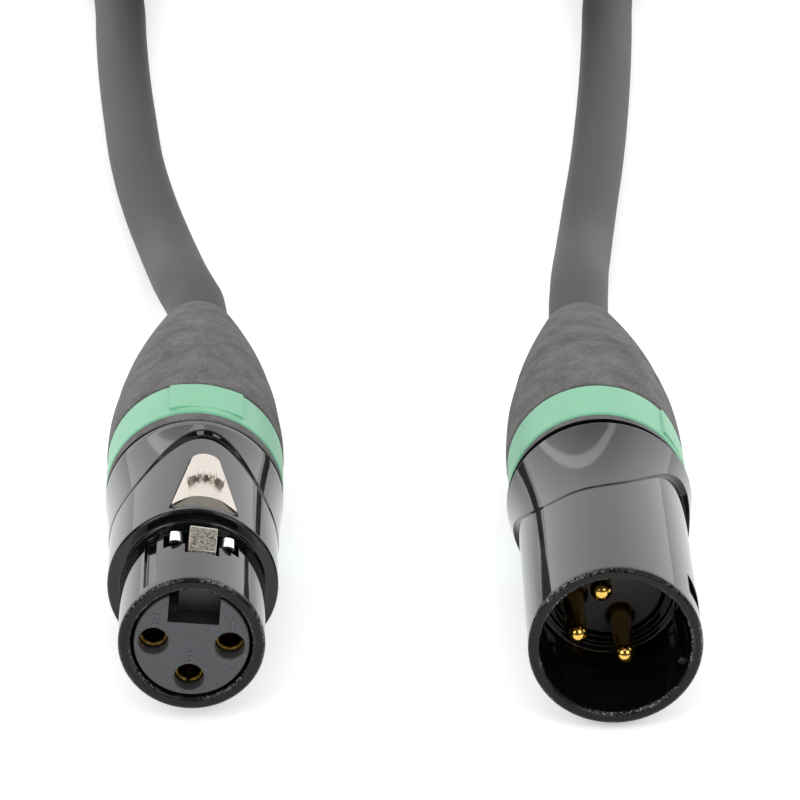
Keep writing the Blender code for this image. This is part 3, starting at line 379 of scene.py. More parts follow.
class CABLE_PG_connectors(bpy.types.PropertyGroup):
    """Main sizes of both connectors."""

    shell_radius: distance("Shell radius", "Outside of both shells in front of the collar", 9.5)
    shell_length: distance("Shell length", "From the front rim to the collar's rear", 35.2)
    barrel_radius: distance("Barrel radius", "Outside of the female barrel", 8.0)
    barrel_length: distance("Barrel length", "From the female rim to its flange", 13.7)
    cavity_radius: distance("Cavity radius", "Inside of the male shell", 8.2)
    cavity_depth: distance("Cavity depth", "From the male rim to the ledge round the insert", 14.4)
    female_collar: distance("Female collar radius", "Rear end of the female shell", 10.2)
    male_collar: distance("Male collar radius", "Rear end of the male shell", 10.6)
    pad_half_width: distance("Latch half width", "Half the width of the latch pad at its front", 3.65)
    pad_front: distance("Latch front", "From the front rim to the latch pad", 14.9)
    pad_rear: distance("Latch rear", "From the front rim to the latch pad's tip", 27.0)
    ridge_height: distance("Thumb ridge height", "How far the ridge stands out of the latch pad", 0.55)


class CABLE_PG_boots(bpy.types.PropertyGroup):
    """Main sizes of the coding rings and the boots."""

    ring_length: distance("Ring length", "Length of a coding ring", 7.5)
    nut_length: distance("Nut length", "Length of the nut's grip", 14.4)
    nut_radius: distance("Nut radius", "Front end of the nut's grip", 10.3)
    flute_depth: distance("Flute depth", "How deep the flutes are sunk in the nut", 0.3)
    sleeve_length: distance("Sleeve length", "Length of the rubber cone", 20.7)


class CABLE_PG_cable(bpy.types.PropertyGroup):
    """The cable's own sizes."""

    cable_radius: distance("Cable radius", "Half the cable's thickness", 3.7)
    cable_length: distance("Cable length", "From one boot's mouth to the other's", 2909.0)


class CABLE_PG_finishes(bpy.types.PropertyGroup):
    """Colours of the finishes."""

    black_chrome: colour("Black chrome", "Both shells", "#090909")
    slate: colour("Slate plastic", "Both inserts", "#343639")
    gold: colour("Gold", "Contacts and pins", "#E0B45C")
    nickel: colour("Nickel", "Latch lever", "#B1AAA1")
    steel: colour("Spring steel", "Latch spring and pin", "#D4D3D0")
    mint: colour("Mint plastic", "Coding rings", "#6CAF8B")
    rubber: colour("Grey rubber", "Boots", "#615F5F")
    jacket: colour("Cable jacket", "Cable", "#3C3A3B")
    strap: colour("Strap", "Tie round the coil", "#232325")


class CABLE_PG_stage(bpy.types.PropertyGroup):
    """Camera, lamps and floor."""

    camera_distance: distance("Camera distance", "Horizontal distance from the connectors' fronts", 449.8)
    camera_height: distance("Camera height", "Height above the floor", 254.4)
    focal_length: FloatProperty(
        name="Focal length", description="Lens in millimetres", default=212.67, min=1.0
    )
    lamp_level: FloatProperty(
        name="Lamp level", description="Brightness of the soft boxes", default=1.0, min=0.0
    )
    floor_colour: colour("Floor colour", "Pale sweep that everything lies on", "#FBFBFB")


# Meshes


def smoothstep(share):
    share = min(1.0, max(0.0, share))
    return share * share * (3 - 2 * share)


def filleted(corners, steps=5):
    """A closed outline of (u, v, fillet) corners with each of them rounded."""
    points = []
    for i, (u, v, size) in enumerate(corners):
        corner = Vector((u, v))
        if size == 0:
            points.append((u, v))
            continue
        before = (Vector(corners[i - 1][:2]) - corner).normalized()
        after = (Vector(corners[(i + 1) % len(corners)][:2]) - corner).normalized()
        half = before.angle(after) / 2
        centre = corner + (before + after).normalized() * (size / math.sin(half))
        start = corner + before * (size / math.tan(half)) - centre
        stop = corner + after * (size / math.tan(half)) - centre
        rays = (start.lerp(stop, step / steps).normalized() for step in range(steps + 1))
        points += [tuple(centre + ray * size) for ray in rays]
    return points


def lathe(outline, steps, closed=True):
    """A bmesh turned about local Z from (along, radius) points."""
    bm = bmesh.new()
    row = [bm.verts.new((radius, 0.0, -along)) for along, radius in outline]
    pairs = list(zip(row, row[1:])) + ([(row[-1], row[0])] if closed else [])
    edges = [bm.edges.new(pair) for pair in pairs]
    bmesh.ops.spin(
        bm,
        geom=row + edges,
        cent=(0, 0, 0),
        axis=(0, 0, 1),
        angle=2 * math.pi,
        steps=steps,
        use_merge=True,
    )
    return cleaned(bm)


def cleaned(bm, weld=1e-7):
    """Merges doubles and turns the faces outwards."""
    bmesh.ops.remove_doubles(bm, verts=bm.verts, dist=weld)
    bmesh.ops.dissolve_degenerate(bm, dist=weld, edges=bm.edges)
    bmesh.ops.recalc_face_normals(bm, faces=bm.faces)
    return bm


def vertices_of(geometry):
    return [item for item in geometry if isinstance(item, bmesh.types.BMVert)]


def slab(outline, low, high, plane):
    """A flat outline as thick as low to high along the plane's normal."""
    u_axis, v_axis, normal = plane
    bm = bmesh.new()
    face = bm.faces.new([bm.verts.new(u_axis * u + v_axis * v + normal * low) for u, v in outline])
    raised = bmesh.ops.extrude_face_region(bm, geom=[face])["geom"]
    bmesh.ops.translate(bm, verts=vertices_of(raised), vec=normal * (high - low))
    return cleaned(bm)


def soften(bm, width, segments=3, angle=28.0):
    """Bevels the sharp edges."""
    limit = math.radians(angle)
    sharp = [edge for edge in bm.edges if edge.is_manifold and edge.calc_face_angle(0.0) > limit]
    bmesh.ops.bevel(
        bm,
        geom=sharp,
        offset=width,
        offset_type="OFFSET",
        affect="EDGES",
        segments=segments,
        profile=0.5,
        material=-1,
        clamp_overlap=True,
    )
    return cleaned(bm)


def cut_off(bm, point, normal):
    """Cuts away what lies beyond a plane and closes the cut."""
    geom = bm.verts[:] + bm.edges[:] + bm.faces[:]
    bmesh.ops.bisect_plane(bm, geom=geom, dist=1e-8, plane_co=point, plane_no=normal, clear_outer=True)
    rim = [edge for edge in bm.edges if edge.is_boundary]
    if rim:
        bmesh.ops.edgeloop_fill(bm, edges=rim)
    return bm


def linked(name, data):
    """A new object in the scene."""
    made = bpy.data.objects.new(name, data)
    bpy.context.scene.collection.objects.link(made)
    return made


def as_mesh(name, bm):
    mesh = bpy.data.meshes.new(name)
    bm.to_mesh(mesh)
    bm.free()
    return mesh


def evaluated_mesh(made):
    """The object's mesh with its modifiers applied."""
    bpy.context.view_layer.update()
    graph = bpy.context.evaluated_depsgraph_get()
    return bpy.data.meshes.new_from_object(made.evaluated_get(graph))


def combined(base, others, operation):
    """The base bmesh with others cut from it or joined to it, as one bmesh."""
    target = linked("target", as_mesh("target", base))
    helpers = [linked("helper", as_mesh("helper", other)) for other in others]
    for helper in helpers:
        modifier = target.modifiers.new("Boolean", "BOOLEAN")
        modifier.operation = operation
        modifier.object = helper
        modifier.solver = "EXACT"
    mesh = evaluated_mesh(target)
    bm = bmesh.new()
    bm.from_mesh(mesh)
    for item in (target, *helpers):
        data = item.data
        bpy.data.objects.remove(item, do_unlink=True)
        bpy.data.meshes.remove(data)
    bpy.data.meshes.remove(mesh)
    return cleaned(bm, 1e-6)


def piece(name, bm, place, materials, replaced, body, sharp=30.0):
    """The finished piece: its place goes into its mesh, and it rides on its body in the node's stead."""
    mesh = as_mesh(name, bm)
    mesh.transform(place)
    mesh.shade_smooth()
    mesh.set_sharp_from_angle(angle=math.radians(sharp))
    made = linked(name, mesh)
    for material in materials:
        mesh.materials.append(material)
    weighted = made.modifiers.new("Weighted normals", "WEIGHTED_NORMAL")
    weighted.keep_sharp = True
    weighted.weight = 75
    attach(made, body)
    if replaced:
        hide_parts(*replaced)
    return made


def add_edge_bevel(made, width):
    bevel = made.modifiers.new("Edge", "BEVEL")
    bevel.width = width
    bevel.segments = 2
    bevel.limit_method = "ANGLE"
    bevel.angle_limit = math.radians(60)


def place_of(position, turn):
    angles = Euler([math.radians(angle) for angle in turn])
    return Matrix.Translation(position) @ angles.to_matrix().to_4x4()


def female_place():
    return place_of(FEMALE_PLACE, FEMALE_TURN)


def male_place():
    return place_of(MALE_PLACE, MALE_TURN)


def insert_place():
    return female_place() @ Matrix.Rotation(math.radians(INSERT_TURN), 4, "Z")


def connectors():
    return bpy.context.scene.cable_connectors


def boots():
    return bpy.context.scene.cable_boots


def cable():
    return bpy.context.scene.cable_cable


def finishes():
    return bpy.context.scene.cable_finishes


# Materials


def add_node(tree, kind, settings=None, links=None):
    """Adds a node; settings go to its properties or sockets, and links feed its sockets."""
    node = tree.nodes.new("ShaderNode" + kind)
    for key, value in (settings or {}).items():
        if isinstance(key, int) or key in node.inputs:
            node.inputs[key].default_value = value
        else:
            setattr(node, key, value)
    for key, source in (links or {}).items():
        tree.links.new(source, node.inputs[key])
    return node


def blank_material(name):
    material = bpy.data.materials.new(name)
    material.use_nodes = True
    material.node_tree.nodes.clear()
    return material


def grain(tree, size_mm, detail=2.0, roughness=0.5):
    """Noise whose lumps are about that many millimetres across, on the piece's own coordinates."""
    coordinates = add_node(tree, "TexCoord")
    return add_node(
        tree,
        "TexNoise",
        {"Scale": 1000.0 / size_mm, "Detail": detail, "Roughness": roughness},
        {"Vector": coordinates.outputs["Object"]},
    )


def ramp(tree, source, low, high, low_colour, high_colour):
    """Two colours spread between two levels of a pattern."""
    node = add_node(tree, "ValToRGB", None, {"Fac": source})
    elements = node.color_ramp.elements
    elements[0].position, elements[1].position = low, high
    elements[0].color, elements[1].color = (*low_colour, 1.0), (*high_colour, 1.0)
    return node


def spread(tree, source, low, high):
    """A pattern mapped to numbers from low to high."""
    return add_node(tree, "MapRange", {"To Min": low, "To Max": high}, {"Value": source})


def bump(tree, height, strength, depth_mm, normal=None):
    links = {"Height": height}
    if normal is not None:
        links["Normal"] = normal
    return add_node(tree, "Bump", {"Strength": strength, "Distance": depth_mm * MM}, links)


def shaded(material, settings, links):
    tree = material.node_tree
    shader = add_node(tree, "BsdfPrincipled", settings, links)
    add_node(tree, "OutputMaterial", None, {"Surface": shader.outputs["BSDF"]})
    return material


def scaled(base, factor):
    return tuple(min(1.0, channel * factor) for channel in base)


def black_chrome():
    """Zinc die casting under gloss black chrome: a deep mirror that shows the studio, with a faint orange peel,
    and pale broken marks along the edges of the front rims, partly rubbed wear and partly painted highlight lines."""
    material = blank_material("black_chrome_die_casting")
    tree = material.node_tree
    base = tuple(finishes().black_chrome)
    edges = add_node(tree, "Bevel", {"Radius": 0.09 * MM, "samples": 6})
    peel = bump(tree, grain(tree, 2.2, 1.0).outputs["Fac"], 0.06, 0.05, edges.outputs["Normal"])
    rim = add_node(tree, "Attribute", {"attribute_name": "rim"})
    edge = add_node(tree, "Attribute", {"attribute_name": "edge"})
    sand = grain(tree, 0.28, 3.0, 0.65)
    marks = add_node(
        tree,
        "Bump",
        {"Distance": 0.05 * MM},
        {"Strength": rim.outputs["Fac"], "Height": sand.outputs["Fac"], "Normal": peel.outputs["Normal"]},
    )
    # Pale marks on the rims' rounded edges: partly rubbed-through wear, partly painted highlight lines along those
    # edges
    rub_and_highlight_grain = add_node(tree, "MapRange", {"From Min": 0.48, "From Max": 0.66}, {"Value": sand.outputs["Fac"]})
    patch = add_node(
        tree, "MapRange", {"From Min": 0.4, "From Max": 0.6}, {"Value": grain(tree, 5.0, 2.0).outputs["Fac"]}
    )
    rubs_and_painted_highlights = add_node(tree, "Math", {"operation": "MULTIPLY"}, {0: rub_and_highlight_grain.outputs["Result"], 1: edge.outputs["Fac"]})
    rubs_and_painted_highlights = add_node(tree, "Math", {"operation": "MULTIPLY"}, {0: rubs_and_painted_highlights.outputs["Value"], 1: patch.outputs["Result"]})
    # The pale grey here is the colour of those marks, partly wear and partly painted highlight
    tone = ramp(tree, rubs_and_painted_highlights.outputs["Value"], 0.0, 1.0, base, (0.24, 0.24, 0.24))
    haze = spread(tree, grain(tree, 3.0, 3.0).outputs["Fac"], 0.03, 0.08)
    gloss = spread(tree, rim.outputs["Fac"], 0.5, 0.28)
    return shaded(
        material,
        {"IOR": 1.43},
        {
            "Base Color": tone.outputs["Color"],
            "Roughness": haze.outputs["Result"],
            "Specular IOR Level": gloss.outputs["Result"],
            "Normal": marks.outputs["Normal"],
        },
    )


def slate_plastic(name="slate_glass_filled_nylon", brightness=1.0):
    """Glass-filled nylon, moulded in a spark-eroded mould: dull slate with a fine salt-and-pepper grain."""
    material = blank_material(name)
    tree = material.node_tree
    base = scaled(tuple(finishes().slate), brightness)
    speckle = grain(tree, 0.22, 3.0, 0.75)
    tone = ramp(tree, speckle.outputs["Fac"], 0.35, 0.68, scaled(base, 0.72), scaled(base, 1.4))
    rough = bump(tree, speckle.outputs["Fac"], 0.5, 0.03)
    return shaded(
        material,
        {"Roughness": 0.5, "IOR": 1.53},
        {"Base Color": tone.outputs["Color"], "Normal": rough.outputs["Normal"]},
    )


def gold_plate():
    """Gold over turned brass: warm mirror with the lathe's fine rings still under the plating."""
    material = blank_material("gold_plated_turned_brass")
    tree = material.node_tree
    coordinates = add_node(tree, "TexCoord")
    # A wave node counts 20 radians to a unit of its scale, so these bands are 2.2 mm apart
    rings = add_node(
        tree,
        "TexWave",
        {"wave_type": "BANDS", "bands_direction": "Y", "Scale": 1000.0 / 0.35 / 20, "Distortion": 0.6, "Detail": 1.0},
        {"Vector": coordinates.outputs["Object"]},
    )
    turned = bump(tree, rings.outputs["Fac"], 0.25, 0.004)
    return shaded(
        material,
        {"Base Color": (*finishes().gold, 1.0), "Metallic": 1.0, "Roughness": 0.16},
        {"Normal": turned.outputs["Normal"]},
    )


def nickel_plate(name="nickel_plated_die_casting", grain_mm=0.5, depth_mm=0.01, strength=0.25, tone=1.0, pits=0.93):
    """Satin nickel over zinc: pale warm metal with a soft cast grain; the pitted kind has dark pores."""
    material = blank_material(name)
    tree = material.node_tree
    base = scaled(tuple(finishes().nickel), tone)
    cast = grain(tree, grain_mm, 3.0, 0.6)
    tint = ramp(tree, cast.outputs["Fac"], 0.36, 0.58, scaled(base, pits), base)
    rough_map = spread(tree, cast.outputs["Fac"], 0.24, 0.36)
    surface = bump(tree, cast.outputs["Fac"], strength, depth_mm)
    return shaded(
        material,
        {"Metallic": 1.0},
        {
            "Base Color": tint.outputs["Color"],
            "Roughness": rough_map.outputs["Result"],
            "Normal": surface.outputs["Normal"],
        },
    )


def spring_steel():
    """Cold-rolled strip steel: bright, with faint rolling lines along the connector."""
    material = blank_material("cold_rolled_spring_steel")
    tree = material.node_tree
    coordinates = add_node(tree, "TexCoord")
    stretch = add_node(
        tree,
        "Mapping",
        {"Scale": (1000.0 / 0.08, 1000.0 / 4.0, 1000.0 / 0.08)},
        {"Vector": coordinates.outputs["Object"]},
    )
    lines = add_node(tree, "TexNoise", {"Scale": 1.0, "Detail": 2.0}, {"Vector": stretch.outputs["Vector"]})
    rolled = bump(tree, lines.outputs["Fac"], 0.2, 0.006)
    rough_map = spread(tree, lines.outputs["Fac"], 0.16, 0.3)
    return shaded(
        material,
        {"Base Color": (*finishes().steel, 1.0), "Metallic": 1.0},
        {"Roughness": rough_map.outputs["Result"], "Normal": rolled.outputs["Normal"]},
    )


def mint_plastic():
    """Polypropylene moulded in a satin mould: soft sheen, slightly milky, with faint flow marks."""
    material = blank_material("mint_moulded_polypropylene")
    tree = material.node_tree
    base = tuple(finishes().mint)
    flow = grain(tree, 6.0, 2.0)
    tone = ramp(tree, flow.outputs["Fac"], 0.3, 0.7, scaled(base, 0.95), scaled(base, 1.04))
    satin = bump(tree, grain(tree, 0.25, 2.0).outputs["Fac"], 0.12, 0.01)
    return shaded(
        material,
        {"Roughness": 0.42, "IOR": 1.49, "Subsurface Weight": 0.12, "Subsurface Radius": (0.0008, 0.0012, 0.0009)},
        {"Base Color": tone.outputs["Color"], "Normal": satin.outputs["Normal"]},
    )


def grey_rubber():
    """Thermoplastic rubber from a sand-blasted mould: dry and matte, with light scuffs and dust in its grain."""
    material = blank_material("grey_moulded_elastomer")
    tree = material.node_tree
    base = tuple(finishes().rubber)
    cloud = grain(tree, 3.6, 5.0, 0.7)
    speckle = grain(tree, 0.3, 3.0, 0.7)
    clouds = ramp(tree, cloud.outputs["Fac"], 0.36, 0.66, scaled(base, 0.72), scaled(base, 1.3))
    specks = ramp(tree, speckle.outputs["Fac"], 0.4, 0.62, (0.82, 0.82, 0.82), (1.22, 1.22, 1.22))
    tone = add_node(
        tree,
        "Mix",
        {"data_type": "RGBA", "blend_type": "MULTIPLY", 0: 1.0},
        {6: clouds.outputs["Color"], 7: specks.outputs["Color"]},
    )
    rough = bump(tree, speckle.outputs["Fac"], 0.35, 0.04)
    return shaded(
        material,
        {"Roughness": 0.8, "IOR": 1.48, "Specular IOR Level": 0.35},
        {"Base Color": tone.outputs[2], "Normal": rough.outputs["Normal"]},
    )


def jacket_rubber():
    """Extruded matte jacket: even dark grey with a faint lengthwise draw and a dusting of lint."""
    material = blank_material("matte_extruded_jacket")
    tree = material.node_tree
    base = tuple(finishes().jacket)
    cloud = grain(tree, 14.0, 3.0)
    fine = grain(tree, 0.35, 2.0, 0.6)
    tone = ramp(tree, cloud.outputs["Fac"], 0.25, 0.8, scaled(base, 0.92), scaled(base, 1.1))
    skin = bump(tree, fine.outputs["Fac"], 0.25, 0.02)
    rough_map = spread(tree, cloud.outputs["Fac"], 0.55, 0.7)
    return shaded(
        material,
        {"IOR": 1.5, "Specular IOR Level": 0.4},
        {
            "Base Color": tone.outputs["Color"],
            "Roughness": rough_map.outputs["Result"],
            "Normal": skin.outputs["Normal"],
        },
    )


def core_insulation(name, hex_colour):
    """Smooth extruded insulation: plain colour with a soft shine and a slight drawn unevenness."""
    material = blank_material(name)
    tree = material.node_tree
    base = linear(hex_colour)
    cloud = grain(tree, 1.5, 2.0)
    tone = ramp(tree, cloud.outputs["Fac"], 0.3, 0.7, scaled(base, 0.9), base)
    return shaded(material, {"Roughness": 0.38, "IOR": 1.53}, {"Base Color": tone.outputs["Color"]})


def black_acetal():
    """Moulded acetal: near black, waxy, with a faint mould grain."""
    material = blank_material("black_moulded_acetal")
    tree = material.node_tree
    wax = grain(tree, 0.4, 2.0)
    tone = ramp(tree, wax.outputs["Fac"], 0.3, 0.7, linear("#18181A"), linear("#222224"))
    return shaded(
        material,
        {"Roughness": 0.4, "IOR": 1.48},
        {"Base Color": tone.outputs["Color"], "Normal": bump(tree, wax.outputs["Fac"], 0.15, 0.01).outputs["Normal"]},
    )


def woven_strap():
    """Woven nylon strap: 0.9 mm ribs across, 1.1 mm along, drawn a little coarser than the thread."""
    material = blank_material("woven_nylon_strap")
    tree = material.node_tree
    uv = add_node(tree, "UVMap", {"uv_map": "strap"})
    # Each band of the weave is half a wave: 1.1 mm along the strap and 0.9 mm across it
    over = add_node(
        tree, "TexWave", {"bands_direction": "X", "Scale": 1000.0 / 1.1 / 20 * 3.14}, {"Vector": uv.outputs["UV"]}
    )
    under = add_node(
        tree, "TexWave", {"bands_direction": "Y", "Scale": 1000.0 / 0.9 / 20 * 3.14}, {"Vector": uv.outputs["UV"]}
    )
    weave = add_node(
        tree, "Math", {"operation": "MULTIPLY"}, {0: over.outputs["Fac"], 1: under.outputs["Fac"]}
    )
    base = tuple(finishes().strap)
    tone = ramp(tree, weave.outputs["Value"], 0.0, 0.7, scaled(base, 0.45), scaled(base, 1.5))
    return shaded(
        material,
        {"Roughness": 0.85, "Sheen Weight": 0.25, "Sheen Roughness": 0.4},
        {
            "Base Color": tone.outputs["Color"],
            "Normal": bump(tree, weave.outputs["Value"], 0.8, 0.15).outputs["Normal"],
        },
    )


def shared(name, make):
    """The material of that name, made once."""
    return bpy.data.materials.get(name) or make()


# Shells


def collar_radius(along, rear_radius, flare):
    """The collar starts with a low step and opens ever faster towards its rear."""
    shell_radius = connectors().shell_radius
    share = min(1.0, max(0.0, (along - FLARE_ALONG) / flare))
    return shell_radius + (rear_radius - shell_radius) * (COLLAR_STEP + (1 - COLLAR_STEP) * share**COLLAR_POWER)


def arched(bm, rear_radius, flare, arch):
    """Bends the collar's front edge into its arch, with a rounded step along it."""
    base, run, power = arch
    shell_radius = connectors().shell_radius
    collar_end = connectors().shell_length - GAP
    tiny = 1e-6
    for vertex in bm.verts:
        along, radius = -vertex.co.z, vertex.co.xy.length
        offset = along - FLARE_ALONG
        if radius < shell_radius - tiny or offset < -ARCH_BAND - tiny or along > collar_end - tiny:
            continue
        angle = math.atan2(vertex.co.x, vertex.co.y)
        front = base + run * abs(math.cos(angle)) ** power
        if offset <= ARCH_SETTLE + tiny:
            new_along = front + offset
            rise = smoothstep((offset + STEP_AHEAD) / STEP_RUN)
            top = collar_radius(max(front, new_along), rear_radius, flare)
            new_radius = shell_radius + rise * (top - shell_radius)
        else:
            share = (offset - ARCH_SETTLE) / (collar_end - FLARE_ALONG - ARCH_SETTLE)
            new_along = front + ARCH_SETTLE + share * (collar_end - front - ARCH_SETTLE)
            new_radius = collar_radius(new_along, rear_radius, flare)
        vertex.co = (new_radius * math.sin(angle), new_radius * math.cos(angle), -new_along)
    return bm


def shell_outline(front, inside, rear_radius):
    """Front part, then the collar's rows before they are arched, the rear bore and the inside."""
    sizes = connectors()
    collar_end = sizes.shell_length - GAP
    rows = [FLARE_ALONG + row * MM for row in ARCH_ROWS]
    first = rows[-1]
    rows += [first + (collar_end - first) * i / COLLAR_ROWS for i in range(1, COLLAR_ROWS + 1)]
    rear = filleted(
        [
            (collar_end, rear_radius, 0),
            (sizes.shell_length, rear_radius, GAP * 0.99),
            (sizes.shell_length, THREAD_RADIUS, REAR_ROUNDING),
            (THREAD_ALONG, THREAD_RADIUS, 0),
            (THREAD_ALONG, REAR_BORE_RADIUS, 0),
            (SEAT_ALONG, REAR_BORE_RADIUS, 0),
        ]
    )
    return front + [(along, sizes.shell_radius) for along in rows] + rear[1:] + inside


def mark_rim(made, place):
    """Writes how much each point belongs to the front rim, and to its two edges, where the chrome gets its pale
    marks, partly wear and partly painted highlight.
    """
    inverse = place.inverted()
    rim = made.data.attributes.new("rim", "FLOAT", "POINT").data
    edge = made.data.attributes.new("edge", "FLOAT", "POINT").data
    for i, vertex in enumerate(made.data.vertices):
        along = -(inverse @ vertex.co).z
        rounding = min(1.0, max(0.0, along / RIM_ROUNDING))
        rim[i].value = 1.0 - smoothstep(2 * along / RIM_END - 1)
        edge[i].value = 4 * rounding * (1 - rounding)


def pad_turns(half, front, centre, tip):
    """Directions round the pad's tip, from one straight side to the other; 0 is straight back."""
    corner = math.atan2(half, front - centre)
    side = corner - math.acos(tip / math.hypot(half, front - centre))
    return [side * i / PAD_TIP_STEPS for i in range(PAD_TIP_STEPS, -PAD_TIP_STEPS - 1, -1)]


def pad_sizes(margin):
    """Half width, front, and the tip's centre and radius of the pad's outline."""
    sizes = connectors()
    return (
        sizes.pad_half_width + margin,
        sizes.pad_front - margin,
        sizes.pad_rear - PAD_TIP_RADIUS,
        PAD_TIP_RADIUS + margin,
    )


def pad_planes():
    """The upright sides of the latch pad, as (point, outward normal) pairs."""
    half, front, centre, tip = pad_sizes(0.0)
    turns = pad_turns(half, front, centre, tip)
    normals = [Vector((math.sin(turn), 0, -math.cos(turn))) for turn in turns]
    planes = [(Vector((0, 0, -centre)) + normal * tip, normal) for normal in normals]
    return planes + [(Vector((0, 0, -front)), Vector((0, 0, 1)))]


def pad_outline(margin):
    """The latch pad seen from above, as (x, along) points."""
    half, front, centre, tip = pad_sizes(margin)
    turns = pad_turns(half, front, centre, tip)
    rear = [(tip * math.sin(turn), centre + tip * math.cos(turn)) for turn in turns]
    return [(half, front)] + rear + [(-half, front)]


def latch_window_outline():
    """The window for the tooth, wider behind it for the spring's tabs, as (x, along) points."""
    tooth = TOOTH_HALF_WIDTH + TOOTH_GAP
    tabs = TAB_HALF_SPAN + TAB_WINDOW_GAP
    rear = TAB_REAR + TAB_WINDOW_GAP
    half = [(tooth, TOOTH_FRONT - GAP), (tooth, TAB_WINDOW_FRONT), (tabs, TAB_WINDOW_FRONT), (tabs, rear)]
    return half + [(-x, along) for x, along in reversed(half)]


def box_outline(u_low, u_high, v_low, v_high):
    return [(u_low, v_low), (u_high, v_low), (u_high, v_high), (u_low, v_high)]


def turned_about_axis(bm, degrees):
    turn = Matrix.Rotation(math.radians(degrees), 3, "Z")
    bmesh.ops.rotate(bm, verts=bm.verts, cent=(0, 0, 0), matrix=turn)
    return bm


class CABLE_OT_female_shell(bpy.types.Operator):
    """Female shell: barrel, flange, arched collar, latch pocket and guide groove."""

    bl_idname = "cable.female_shell"
    bl_label = "Female shell"

    def execute(self, context):
        sizes = connectors()
        barrel, flange = sizes.barrel_radius, sizes.barrel_length
        bore = barrel - BARREL_WALL
        front = filleted(
            [
                (0, bore, RIM_ROUNDING),
                (0, barrel, RIM_ROUNDING),
                (RIM_END, barrel, 0),
                (flange, barrel, FLANGE_ROOT),
                (flange, sizes.shell_radius, FLANGE_EDGE),
                (FRONT_PART_END, sizes.shell_radius, 0),
                (FRONT_PART_END, bore, 0),
            ]
        )[:-2]
        outline = shell_outline(front, [(SEAT_ALONG, bore), (RIM_END, bore)], sizes.female_collar)
        bm = arched(lathe(outline, SHELL_STEPS), sizes.female_collar, FEMALE_FLARE, FEMALE_ARCH)
        half = GROOVE_WIDTH / 2
        groove = slab(
            box_outline(-half, half, barrel - GROOVE_DEPTH, sizes.shell_radius - GROOVE_SETBACK),
            -(flange - GAP),
            -GROOVE_FRONT,
            SECTION_PLANE,
        )
        cutters = [
            slab(pad_outline(POCKET_GAP), ARM_FLOOR, REACH, PLAN_PLANE),
            slab(latch_window_outline(), ARM_FLOOR, REACH, PLAN_PLANE),
            turned_about_axis(soften(groove, GROOVE_ROUNDING), GUIDE_ANGLE),
        ]
        bm = combined(bm, cutters, "DIFFERENCE")
        chrome = [shared("black_chrome_die_casting", black_chrome)]
        made = piece("female_shell_cast", bm, female_place(), chrome, ["female_shell"], "cable")
        mark_rim(made, female_place())
        return {"FINISHED"}


class CABLE_OT_male_shell(bpy.types.Operator):
    """Male shell: open barrel, catch window, guide rib and arched collar."""

    bl_idname = "cable.male_shell"
    bl_label = "Male shell"

    def execute(self, context):
        sizes = connectors()
        cavity, depth = sizes.cavity_radius, sizes.cavity_depth
        front = filleted(
            [
                (0, cavity, RIM_ROUNDING),
                (0, sizes.shell_radius, RIM_ROUNDING),
                (RIM_END, sizes.shell_radius, 0),
                (FRONT_PART_END, sizes.shell_radius, 0),
                (FRONT_PART_END, cavity, 0),
            ]
        )[:-2]
        hole, step, foot, corner = LEDGE_ROUNDINGS
        inside = filleted(
            [
                (SEAT_ALONG, LEDGE_RADIUS, 0),
                (depth, LEDGE_RADIUS, hole),
                (depth, LEDGE_STEP_RADIUS, step),
                (depth - LEDGE_STEP, LEDGE_STEP_RADIUS + LEDGE_DRAFT, foot),
                (depth - LEDGE_STEP, cavity, corner),
                (RIM_END, cavity, 0),
                (RIM_END, LEDGE_RADIUS - 1 * MM, 0),
            ]
        )[:-1]
        outline = shell_outline(front, inside, sizes.male_collar)
        bm = arched(lathe(outline, SHELL_STEPS), sizes.male_collar, MALE_FLARE, MALE_ARCH)
        window = box_outline(-CATCH_WIDTH / 2, CATCH_WIDTH / 2, CATCH_FRONT, CATCH_FRONT + CATCH_LENGTH)
        corners = [(u, v, CATCH_ROUNDING) for u, v in window]
        catch = slab(filleted(corners), LEDGE_RADIUS, REACH, PLAN_PLANE)
        rib = slab(
            box_outline(-RIB_WIDTH / 2, RIB_WIDTH / 2, cavity - RIB_HEIGHT, (cavity + sizes.shell_radius) / 2),
            -(depth + GAP),
            -RIB_FRONT,
            SECTION_PLANE,
        )
        bm = combined(bm, [catch], "DIFFERENCE")
        bm = combined(bm, [turned_about_axis(soften(rib, RIB_ROUNDING), -GUIDE_ANGLE)], "UNION")
        chrome = [shared("black_chrome_die_casting", black_chrome)]
        made = piece("male_shell_cast", bm, male_place(), chrome, ["male_shell"], "cable")
        mark_rim(made, male_place())
        return {"FINISHED"}


# Inserts and contacts


def contact_places():
    angles = [math.radians(angle) for angle in CONTACT_ANGLES]
    return [Vector((CONTACT_CIRCLE * math.cos(a), CONTACT_CIRCLE * math.sin(a), 0.0)) for a in angles]


def contact_holes(face):
    """Cutters for the three holes of an insert, each with a small lead-in at its mouth."""
    stem = STEM_RADIUS + GAP
    outline = [
        (face - REACH, 0),
        (face - REACH, FACE_HOLE_RADIUS + HOLE_LEAD),
        (face, FACE_HOLE_RADIUS + HOLE_LEAD),
        (face + HOLE_LEAD, FACE_HOLE_RADIUS),
        (face + FACE_HOLE_DEPTH, FACE_HOLE_RADIUS),
        (face + FACE_HOLE_DEPTH, stem),
        (INSERT_TAIL + GAP, stem),
        (INSERT_TAIL + GAP, 0),
    ]
    holes = []
    for place in contact_places():
        hole = lathe(outline, SMALL_STEPS, closed=False)
        bmesh.ops.translate(hole, verts=hole.verts, vec=place)
        holes.append(hole)
    return holes


